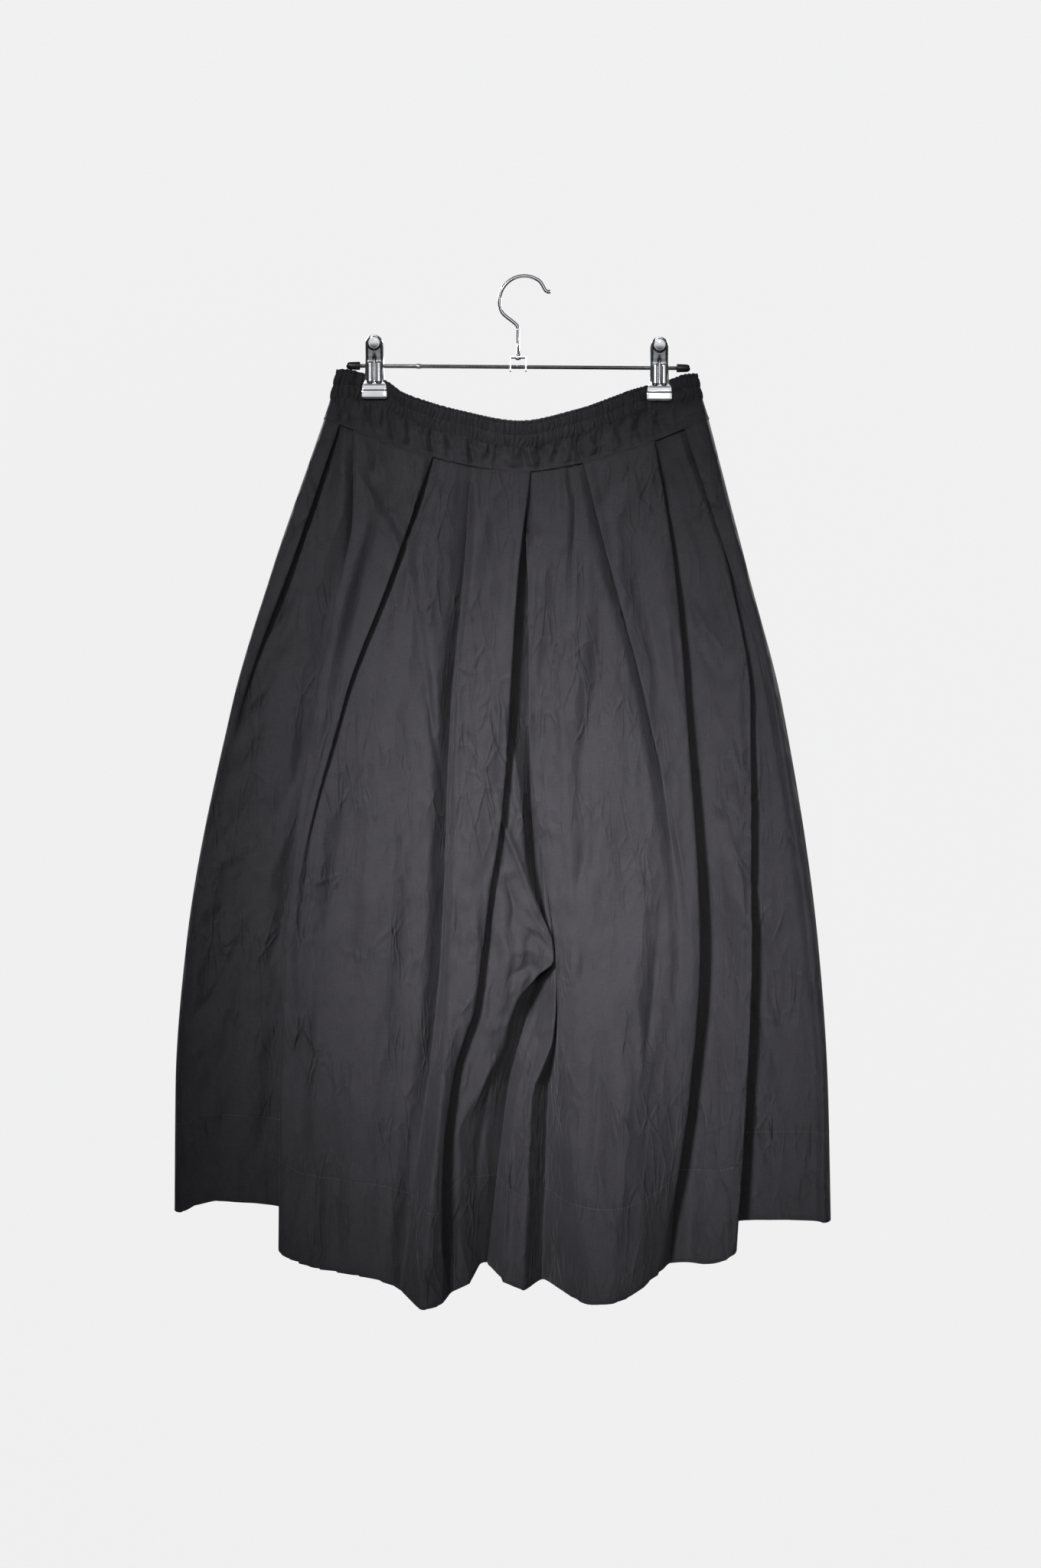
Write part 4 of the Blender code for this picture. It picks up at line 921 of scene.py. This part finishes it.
def casing(name, face, ribs):
    """One half of the elastic casing: ribbed outside, over the frilled top edge and down inside."""
    count = ribs * RIB_COLUMNS
    share = np.linspace(0, 1, count + 1)
    seed = 41 if face == FRONT else 47
    place = share * ribs
    wander = 0.42 * noise(place, 0 * place, 3.1, 1, seed) + 0.3 * noise(place, 0 * place, 1.3, 1, seed + 1)
    table = list(zip(*CASING_PROFILE))

    def line(level, out_by, rib_by):
        points, out = half_loop(
            between(WAIST_LEFT, CASING_LEFT, level), between(WAIST_RIGHT, CASING_RIGHT, level),
            partial(waist_value, "hollow"), lambda x: casing_depth(x, level, face), face, count,
        )
        slip = 0.5 * noise(place, 0 * place + level * 3.0, 2.2, 1, seed + 2)
        ends = np.minimum(1, np.minimum(place, ribs - place))
        phase = place + (wander + slip) * ends
        crest = np.abs(np.sin(math.pi * phase)) ** 0.9
        uneven = 0.8 + 0.35 * noise(phase, 0 * place + level * 2.0, 1.0, 1, seed + 3)
        pressed = clip_pressure(points[:, 0])
        raised = rib_by * crest * uneven * (1 - RIB_PRESSED * pressed) * np.minimum(1, ends + 0.1)
        points = points + out * (out_by * (1 - OUT_PRESSED * pressed) + raised)[:, None]
        if level < FRILL_LEVEL:
            points[:, 2] += FRILL * (crest - 0.5) * (1 - level / FRILL_LEVEL)
        return points

    def outer(level):
        return line(level, *(np.interp(level, table[0], column) for column in table[1:]))

    top = line(0.0, *TOP_EDGE[:2])
    top[:, 2] += TOP_EDGE[2]
    rows = [outer(level) for level in np.linspace(1, 0, CASING_ROWS)] + [top]
    rows += [line(level, INSIDE_OUT, INSIDE_RIB) for level in INSIDE_LEVELS]
    grid = turned_out(np.stack(rows), face)[::-1]
    return cloth_piece(name + "_cloth", grid, name, CASING_CLOTH), [outer(level) for level in STITCH_LEVELS]


def clip_pressure(x):
    """1 where a clip pinches the waistband, falling to 0 beside it."""
    return np.maximum(*(1 - ease(np.abs(x - at), *CLIP_GRIP) for at in (CLIP_LEFT_X, CLIP_RIGHT_X)))


# Gathers of the yoke: x where each starts under the casing and where it ends, its height, half width
# and the share of the yoke's height that it reaches down
Gather = namedtuple("Gather", "top bottom height width reach")
FRONT_GATHERS = tuple(Gather(*row) for row in (
    (-172, -176, 1.3, 4.0, 1.0), (-160, -158, -1.5, 3.5, 0.9), (-149, -150, 1.8, 4.5, 1.0),
    (-141, -136, -1.6, 3.0, 0.8), (-133, -139, 1.4, 3.0, 0.7), (-122, -121, -1.7, 3.5, 1.0),
    (-113, -108, 1.7, 4.0, 0.9), (-104, -106, -1.2, 2.6, 0.6), (-95, -88, 1.5, 3.6, 0.9),
    (-86, -80, -1.9, 3.2, 1.0), (-76, -74, 1.6, 3.4, 1.0), (-66, -62, -1.3, 2.8, 0.7),
    (-56, -50, 1.7, 3.6, 1.0), (-47, -46, -1.8, 3.0, 1.0), (-36, -30, 1.2, 3.4, 0.6),
    (-24, -22, -1.2, 3.0, 0.7), (-12, -8, 1.5, 4.0, 0.8), (-1, 4, -1.4, 3.2, 0.9), (9, 12, 1.9, 3.6, 1.0),
    (18, 17, -2.0, 3.0, 1.0), (26, 30, 1.4, 3.4, 0.8), (36, 34, -1.3, 2.8, 0.7), (44, 42, 1.8, 3.4, 1.0),
    (53, 56, -1.9, 3.2, 1.0), (62, 68, 1.4, 4.0, 0.8), (73, 71, -1.2, 3.0, 0.6), (82, 86, 1.6, 4.2, 1.0),
    (92, 96, -1.7, 3.4, 0.9), (101, 101, 1.8, 3.6, 1.0), (110, 114, -1.8, 3.2, 1.0),
    (120, 122, 1.7, 3.8, 1.0), (129, 133, -1.6, 3.4, 1.0), (141, 143, 1.4, 4.0, 1.0),
    (156, 160, -1.0, 5.0, 0.8),
))
BACK_GATHERS = tuple(g._replace(top=-0.97 * g.top - 5, bottom=-0.97 * g.bottom - 3) for g in FRONT_GATHERS)
YOKE_ROWS = 26
YOKE_COLUMNS = 360
YOKE_UNDER = 1.4           # how far the yoke's top runs up inside the casing
YOKE_OVER = 0.9            # and its lower edge over the pleats
GATHER_GAIN = 1.9
SHIRR, SHIRR_LENGTH = 0.8, 5.6   # small even ripples just under the casing
YOKE_CRUMPLE = 1.6
SEAM_ROLL = 1.7            # how far the seam allowance rolls that edge out


def yoke(name, face, gathers):
    """The band between the casing and the pleat seam, crumpled by the casing's gathers."""
    share = np.linspace(0, 1, YOKE_COLUMNS + 1)
    ends = np.minimum(1, np.minimum(share, 1 - share) * 40)
    seed = 53 if face == FRONT else 59
    rows = []
    for level in np.linspace(0, 1, YOKE_ROWS):

        def hollow(x):
            return between(waist_value("hollow", x) + 0.8, YOKE_DROP, level)

        def depth(x):
            return between(waist_value("casing_end", x) - YOKE_UNDER, pleat_seam(x) + YOKE_OVER, level)

        left, right = between(CASING_LEFT, YOKE_LEFT, level), between(CASING_RIGHT, YOKE_RIGHT, level)
        points, out = half_loop(left, right, hollow, depth, face, YOKE_COLUMNS)
        x = points[:, 0]
        relief = np.zeros_like(x)
        for g in gathers:
            at = between(g.top, g.bottom, level) + 1.2 * math.sin(level * 5 + g.top)
            strength = ease(level, 0.02, 0.25) * (1 - ease(level, g.reach * 0.75, g.reach * 1.1))
            relief += GATHER_GAIN * g.height * strength * np.exp(-(((x - at) / g.width) ** 2))
        shirred = SHIRR * np.sin(2 * math.pi * x / SHIRR_LENGTH + 2 * noise(x, 0 * x, 12, 1, seed))
        relief += shirred * ease(level, 0.0, 0.06) * (1 - ease(level, 0.12, 0.5))
        crumple = (1 - np.abs(noise(x + 9 * level, 0 * x + level * 34, 9, 8, seed + 1))) ** 2 - 0.45
        relief += YOKE_CRUMPLE * crumple * ease(level, 0.05, 0.4)
        relief *= 1 - 0.75 * ease(level, 0.86, 1.0)
        relief += SEAM_ROLL * ease(level, 0.84, 0.97)
        rows.append(points + out * (relief * ends)[:, None])
    return cloth_piece(name + "_cloth", turned_out(np.stack(rows), face), name)


# ---------------------------------------------------------------- sewing
STITCH = 2.4
STITCH_GAP = 0.8
THREAD_RADIUS = 0.17
STITCH_SIDES = 6
STITCH_PROFILE = ((-0.5, 0.25, -0.25), (-0.34, 1.0, 0.05), (0.34, 1.0, 0.05), (0.5, 0.25, -0.25))


def stitches(name, lines):
    """Running stitches along lines of (points, outward directions): a short bead of thread for each."""
    points, faces = [], []
    turns = np.linspace(0, 2 * math.pi, STITCH_SIDES, endpoint=False)
    rings = len(STITCH_PROFILE)
    for path, out in lines:
        run = path_run(path)
        for middle in np.arange(STITCH, run[-1] - STITCH, STITCH + STITCH_GAP):
            a, b, centre = path_at(path, run, (middle - STITCH / 2, middle + STITCH / 2, middle))
            up, along = unit(path_at(out, run, middle)), unit(b - a)
            side = unit(np.cross(along, up))
            base = len(points)
            for place, radius, sink in STITCH_PROFILE:
                hub = centre + along * place * STITCH + up * (CLOTH / 2 + sink)
                for turn in turns:
                    spoke = side * math.cos(turn) + up * math.sin(turn)
                    points.append(hub + spoke * radius * THREAD_RADIUS)
            faces += (grid_faces(rings, STITCH_SIDES, wrap=True) + base).tolist()
            faces.append(list(range(base, base + STITCH_SIDES)))
            faces.append(list(range(base + (rings - 1) * STITCH_SIDES, base + rings * STITCH_SIDES)))
    mesh_piece(name, points, faces, THREAD)


# ---------------------------------------------------------------- hanger
WIRE_RADIUS = 1.6
HOOK_X, HOOK_Z, HOOK_RADIUS = 2.9, -21.6, 23.4
HOOK_FROM, HOOK_TO = 211.0, 50.0      # the arc over the top, before the tip bends out
HOOK_TIP = ((20.4, -7.6), (22.2, -11.0), (24.0, -12.7))
TIP_BALL, TIP_BALL_RADIUS = (25.9, -13.2), 2.0
STEM_X, STEM_TOP_Z = -2.9, -50.0
STEM_BEND = ((-2.9, -47.6), (-4.6, -44.2), (-8.2, -41.0))
# The stem's turned shapes: height, radius
STEM_SHAPE = (
    (-77.3, 1.2), (-76.9, 2.5), (-75.9, 2.5), (-75.7, 1.6), (-73.9, 1.6), (-73.5, 2.4), (-72.7, 2.7),
    (-71.9, 2.4), (-71.3, 1.6),
)
ROD_RADIUS, ROD_Z, ROD_SLOPE = 1.8, -83.9, -0.0072
ROD_LEFT, ROD_RIGHT = -160.0, 155.0
CRIMP_X, CRIMP_HALF, CRIMP_RISE = -96.5, 2.4, 0.6
CAP_LEFT, CAP_RIGHT = -164.5, 159.0
# The rubber cap from its tip: how far in, radius
CAP_SHAPE = (
    (0, 0.3), (0.1, 1.2), (0.5, 2.1), (1.3, 2.9), (2.6, 3.45), (5, 3.65), (12.1, 3.9), (12.6, 3.75),
    (12.8, 3.35), (12.8, 2.1),
)
SQUARE_ON = (0, 1, 0)      # a direction square to all the wires that lie in the plane of the front
SPRING_WIRE, SPRING_MEAN, SPRING_TURNS, SPRING_LENGTH = 0.72, 2.95, 7, 11.0
CLIP_LEFT_X, CLIP_RIGHT_X = -138.0, 129.8
CLIP_GRIP = (9.0, 16.0)    # how far either side of its middle a clip presses in full, and at all
ROUND_SIDES = 28


def smooth_path(points, per_step=8):
    """Points on a smooth curve through the given ones."""
    p = np.array(points, float)
    p = np.vstack((2 * p[0] - p[1], p, 2 * p[-1] - p[-2]))
    t = np.linspace(0, 1, per_step, endpoint=False)[:, None]
    runs = [
        0.5 * (2 * b + (c - a) * t + (2 * a - 5 * b + 4 * c - d) * t**2 + (3 * b - a - 3 * c + d) * t**3)
        for a, b, c, d in zip(p, p[1:], p[2:], p[3:])
    ]
    return np.vstack(runs + [p[-2:-1]])


def wire_piece(name, path, radii, side, finish, node):
    """A round wire along a path; side is a direction square to it, one for all or one for each point."""
    path = np.array(path, float)
    along = unit(np.gradient(path, axis=0))
    side = np.broadcast_to(np.array(side, float), path.shape)
    other = unit(np.cross(along, side))
    turn = np.linspace(0, 2 * math.pi, ROUND_SIDES, endpoint=False)[:, None]
    spokes = side[:, None] * np.cos(turn) + other[:, None] * np.sin(turn)
    rings = path[:, None] + spokes * np.broadcast_to(radii, len(path))[:, None, None]
    faces = grid_faces(len(path), ROUND_SIDES, wrap=True).tolist()
    faces.append(list(range(ROUND_SIDES))[::-1])
    faces.append([(len(path) - 1) * ROUND_SIDES + k for k in range(ROUND_SIDES)])
    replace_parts(mesh_piece(name, rings.reshape(-1, 3), faces, finish), node)


def hook():
    """The stem with its turned foot and collar, the bend and arc of the hook, and its balled tip."""
    turned = [(STEM_X, z) for z, _ in STEM_SHAPE]
    angles = np.radians(np.linspace(HOOK_FROM, HOOK_TO, 56))
    arc = [(HOOK_X + HOOK_RADIUS * math.cos(a), HOOK_Z + HOOK_RADIUS * math.sin(a)) for a in angles]
    bent = smooth_path([(STEM_X, -60.0), (STEM_X, STEM_TOP_Z), *STEM_BEND, *arc[::6], *HOOK_TIP, TIP_BALL])
    outward_step = unit(bent[-1] - bent[-2])
    swell = np.radians(np.arange(40, 181, 10))
    ball = [bent[-1] - outward_step * TIP_BALL_RADIUS * math.cos(a) for a in swell]
    path = [(x, 0, z) for x, z in (*turned, *bent[:-1], *ball)]
    radii = [r for _, r in STEM_SHAPE] + [WIRE_RADIUS] * (len(bent) - 1)
    radii += [max(TIP_BALL_RADIUS * math.sin(a), 0.1) for a in swell]
    wire_piece("hook_wire", path, radii, SQUARE_ON, CHROME, "hanger_hook")


def on_rod(x):
    """The place on the rod's slightly sloping axis at an x."""
    return (x, 0, ROD_Z + ROD_SLOPE * x)


def rod():
    """The rod, with a crimp left of the middle."""
    crimp = [
        (CRIMP_X + d, ROD_RADIUS + CRIMP_RISE * math.cos(d / CRIMP_HALF * math.pi / 2) ** 0.7)
        for d in np.linspace(-2.2, 2.2, 12)
    ]
    shape = [(ROD_LEFT, 1.2), (ROD_LEFT + 0.5, ROD_RADIUS), (CRIMP_X - CRIMP_HALF, ROD_RADIUS), *crimp,
             (CRIMP_X + CRIMP_HALF, ROD_RADIUS), (ROD_RIGHT - 0.5, ROD_RADIUS), (ROD_RIGHT, 1.2)]
    path = [on_rod(x) for x, _ in shape]
    wire_piece("rod_bar", path, [r for _, r in shape], SQUARE_ON, PLATED, "hanger_rod")


def caps():
    """The two rubber caps on the rod's ends."""
    radii = [r for _, r in CAP_SHAPE]
    for side, tip, way in (("left", CAP_LEFT, 1), ("right", CAP_RIGHT, -1)):
        path = [on_rod(tip + way * (d + 0.01 * k)) for k, (d, _) in enumerate(CAP_SHAPE)]
        wire_piece(f"cap_{side}_rubber", path, radii, SQUARE_ON, RUBBER, f"hanger_cap_{side}")


def spring(name, x):
    """A close coil of wire about the rod."""
    share = np.linspace(0, 1, 24 * SPRING_TURNS)
    turn = 2 * math.pi * SPRING_TURNS * share
    radial = np.stack((0 * turn, np.cos(turn), np.sin(turn)), axis=1)
    middle = np.array([on_rod(x + (s - 0.5) * (SPRING_LENGTH - 2 * SPRING_WIRE)) for s in share])
    wire_piece(name + "_coil", middle + radial * SPRING_MEAN, SPRING_WIRE, radial, PLATED, name)


# A clip's leaf down its length: height above the rod, half width, distance of its middle surface from
# the rod's plane, and how far its sides turn in
Leaf = namedtuple("Leaf", "z half_width y turned_in")
LEAF = tuple(Leaf(*row) for row in (
    (27.6, 7.8, 10.0, 1.2), (19.0, 7.8, 8.9, 1.8), (9.0, 7.8, 6.4, 1.6), (3.0, 8.0, 5.0, 1.2),
    (-8.0, 8.5, 4.7, 0.9), (-14.0, 9.2, 4.6, 0.6), (-17.0, 10.3, 4.8, 0.3), (-19.0, 11.0, 4.3, 0.2),
    (-22.8, 11.4, 4.1, 0.2), (-24.0, 11.7, 4.9, 0.3), (-29.0, 11.7, 4.9, 0.3), (-31.3, 11.5, 4.2, 0.2),
))
LEAF_SHEET = 0.8
LEAF_TOP_RADIUS, LEAF_FOOT_RADIUS = 7.8, 1.6
RIDGE_X, RIDGE_WIDTH, RIDGE_HEIGHT, RIDGE_TOP, RIDGE_END = 4.1, 2.3, 1.4, 3.6, -17.0
DISC_Z, DISC_RADIUS, DISC_RIM, DISC_DOME = 20.2, 5.4, 0.45, 0.8
GROOVE, GROOVE_WIDTH = 0.5, 1.5


def leaf(name, x, face):
    """A sheet-steel leaf: rounded top with a plain pressed disc, two ridges, and a flared, lipped jaw."""
    top, foot = LEAF[0].z, LEAF[-1].z
    z = np.concatenate((top - LEAF_TOP_RADIUS * (1 - np.cos(np.linspace(0.16, math.pi / 2, 16))),
                        np.linspace(top - LEAF_TOP_RADIUS - 0.6, foot, 72)))
    table = list(zip(*LEAF[::-1]))
    half, y, turned = (curve(table[0], table[k], z) for k in (1, 2, 3))
    from_top = np.clip((z - (top - LEAF_TOP_RADIUS)) / LEAF_TOP_RADIUS, 0, 1)
    from_foot = np.clip((foot + LEAF_FOOT_RADIUS - z) / LEAF_FOOT_RADIUS, 0, 1)
    half = half * np.sqrt(1 - from_top**2) - LEAF_FOOT_RADIUS * (1 - np.sqrt(1 - from_foot**2))
    share = np.sin(np.linspace(-1, 1, 45) * math.pi / 2)
    across = share[None, :] * half[:, None]
    down = np.broadcast_to(z[:, None], across.shape)
    out = np.broadcast_to(y[:, None], across.shape) - turned[:, None] * np.abs(share) ** 9
    ridge = np.exp(-((np.abs(np.abs(across) - RIDGE_X) / RIDGE_WIDTH) ** 4))
    ridge = RIDGE_HEIGHT * ridge * ease(-down, -RIDGE_TOP, -RIDGE_TOP + 1.6)
    groove = np.exp(-((across / GROOVE_WIDTH) ** 2)) * ease(-down, -RIDGE_TOP - 9, -RIDGE_TOP - 2)
    groove = groove * ease(down, RIDGE_END, RIDGE_END + 2)
    away = np.hypot(across, down - DISC_Z) / DISC_RADIUS
    disc = DISC_DOME * np.sqrt(np.clip(1 - away**2, 0, 1)) + DISC_RIM * np.exp(-(((away - 1) / 0.12) ** 2))
    out = out + ridge * ease(down, RIDGE_END, RIDGE_END + 1.8) + disc - GROOVE * groove
    hub = np.array(on_rod(x))
    points = np.stack((hub[0] + across, face * out, hub[2] + down), axis=2)
    shell_piece(name + "_leaf", turned_out(points, face), CHROME, LEAF_SHEET, name)


def softened(name, finish):
    """A copy of a CAD node with its edges eased, in its place."""
    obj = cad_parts[name].copy()
    obj.data = obj.data.copy()
    obj.name = name + "_eased"
    bevel = dressed(obj, finish).modifiers.new("eased", "BEVEL")
    bevel.width, bevel.segments, bevel.limit_method = 0.35 * MM, 3, "ANGLE"
    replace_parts(obj, name)


# ---------------------------------------------------------------- studio
CAMERA = Vector((-0.0007, -2.6, -0.476))
FIELD = 1.4746             # height of what the camera frames at the garment
SENSOR = 36.0
BACKDROP = (0.885, 0.885, 0.89)
DOME, DOME_Z = 9.0, -0.5   # the backdrop's radius and middle
FLOOR, FLOOR_Z = 0.95, -1.6
# Lamp, where it stands, how wide it is, its power, the angle of its beam and where in x and z it points
Lamp = namedtuple("Lamp", "name place size power beam aim")
LAMPS = (
    Lamp("key_high", (-0.9, -2.4, 0.9), 0.5, 1.15, 11, (0.03, -0.42)),
    Lamp("key_low", (-0.85, -2.5, 0.3), 0.5, 1.0, 11, (0.05, -0.74)),
    Lamp("front", (0.15, -2.5, 0.1), 0.5, 0.3, 15, (0.04, -0.54)),
    Lamp("right", (2.0, -1.6, 0.3), 0.8, 0.05, 50, (0.04, -0.54)),
    Lamp("behind_left", (-1.6, 2.0, 0.9), 1.0, 26.0, 120, (0, -0.5)),
    Lamp("behind_right", (1.8, 1.8, 0.6), 1.0, 19.0, 120, (0, -0.5)),
)
AMBIENT = 0.032
SCREEN = 0.55              # a pale screen behind the camera, which the chrome mirrors
SCREEN_EDGE = (0.86, 0.94)  # how far round it reaches, as the cosines where it fades in


def place_camera():
    """The photograph's view, straight on from the front."""
    camera = bpy.data.cameras.new("camera")
    camera.sensor_width = SENSOR
    camera.lens = SENSOR * -CAMERA.y / FIELD
    view = bpy.data.objects.new("camera", camera)
    view.location = CAMERA
    view.rotation_euler = (math.radians(90), 0, 0)
    bpy.context.scene.collection.objects.link(view)
    bpy.context.scene.camera = view


def light():
    """Soft lamps with narrow beams in a dim room.

    Two keys stand at the upper left, one above the other, with a weak lamp in front, one at the right and
    two behind.
    """
    world = bpy.data.worlds.new("studio")
    bpy.context.scene.world = world
    room = Nodes(world, "Background")
    place = room.add("TexCoord", "Generated", {})
    height = room.add("SeparateXYZ", "Z", {"Vector": place})
    colour = room.add("ValToRGB", "Color", {"Fac": room.ranged(height, -1, 1, 0, 1)})
    ramp = colour.node.color_ramp
    ramp.elements[0].color = (0.25, 0.25, 0.26, 1)
    ramp.elements[1].color = (3.4, 3.4, 3.5, 1)
    for position, level in ((0.36, 0.5), (0.47, 1.5), (0.56, 1.2), (0.7, 2.6)):
        ramp.elements.new(position).color = (level, level, level * 1.02, 1)
    facing = room.add("VectorMath", "Value", {0: place, 1: (0, -1, 0)}, operation="DOT_PRODUCT")
    screen = room.ranged(facing, *SCREEN_EDGE, AMBIENT, SCREEN, interpolation_type="SMOOTHSTEP")
    room.finished(Color=colour, Strength=screen)
    for lamp in LAMPS:
        data = bpy.data.lights.new(lamp.name, "AREA")
        data.shape, data.size = "DISK", lamp.size
        data.energy, data.spread = lamp.power, math.radians(lamp.beam)
        light = bpy.data.objects.new(lamp.name, data)
        light.location = lamp.place
        aim = Vector((lamp.aim[0], 0, lamp.aim[1]))
        light.rotation_euler = (aim - light.location).to_track_quat("-Z", "Y").to_euler()
        bpy.context.scene.collection.objects.link(light)


def backdrop():
    """A pale floor, and a pale dome far behind it that lights nothing."""
    bpy.ops.mesh.primitive_circle_add(vertices=96, radius=FLOOR, fill_type="NGON", location=(0, 0, FLOOR_Z))
    ground = bpy.context.object
    ground.name = "floor"
    ground.data.materials.append(floor_finish())
    bpy.ops.mesh.primitive_uv_sphere_add(segments=64, ring_count=32, radius=DOME, location=(0, 0, DOME_Z))
    dome = bpy.context.object
    dome.name = "backdrop"
    dome.data.materials.append(backdrop_finish())
    for ray in ("diffuse", "glossy", "shadow", "transmission", "volume_scatter"):
        setattr(dome, "visible_" + ray, False)


# ---------------------------------------------------------------- the scene
place_camera()
light()
backdrop()
bpy.context.scene.view_settings.view_transform = "Standard"
leg_pieces, leg_grids = legs()
front_casing, front_seams = casing("waist_casing_front", FRONT, FRONT_RIBS)
back_casing, back_seams = casing("waist_casing_back", BACK, BACK_RIBS)
front_yoke = yoke("yoke_front", FRONT, FRONT_GATHERS)
back_yoke = yoke("yoke_back", BACK, BACK_GATHERS)

stitches("hem_stitches", [(grid[HEM_ROW], outward(grid)[HEM_ROW]) for grid in leg_grids.values()])
stitches("casing_stitches", [
    (path, outward_of_line(path, face))
    for face, seams in ((FRONT, front_seams), (BACK, back_seams))
    for path in seams
])

hook()
rod()
caps()
softened("hanger_bracket", PLATED)
for side, at in (("left", CLIP_LEFT_X), ("right", CLIP_RIGHT_X)):
    leaf(f"clip_{side}_front", at, FRONT)
    leaf(f"clip_{side}_back", at, BACK)
    spring(f"clip_{side}_spring", at)
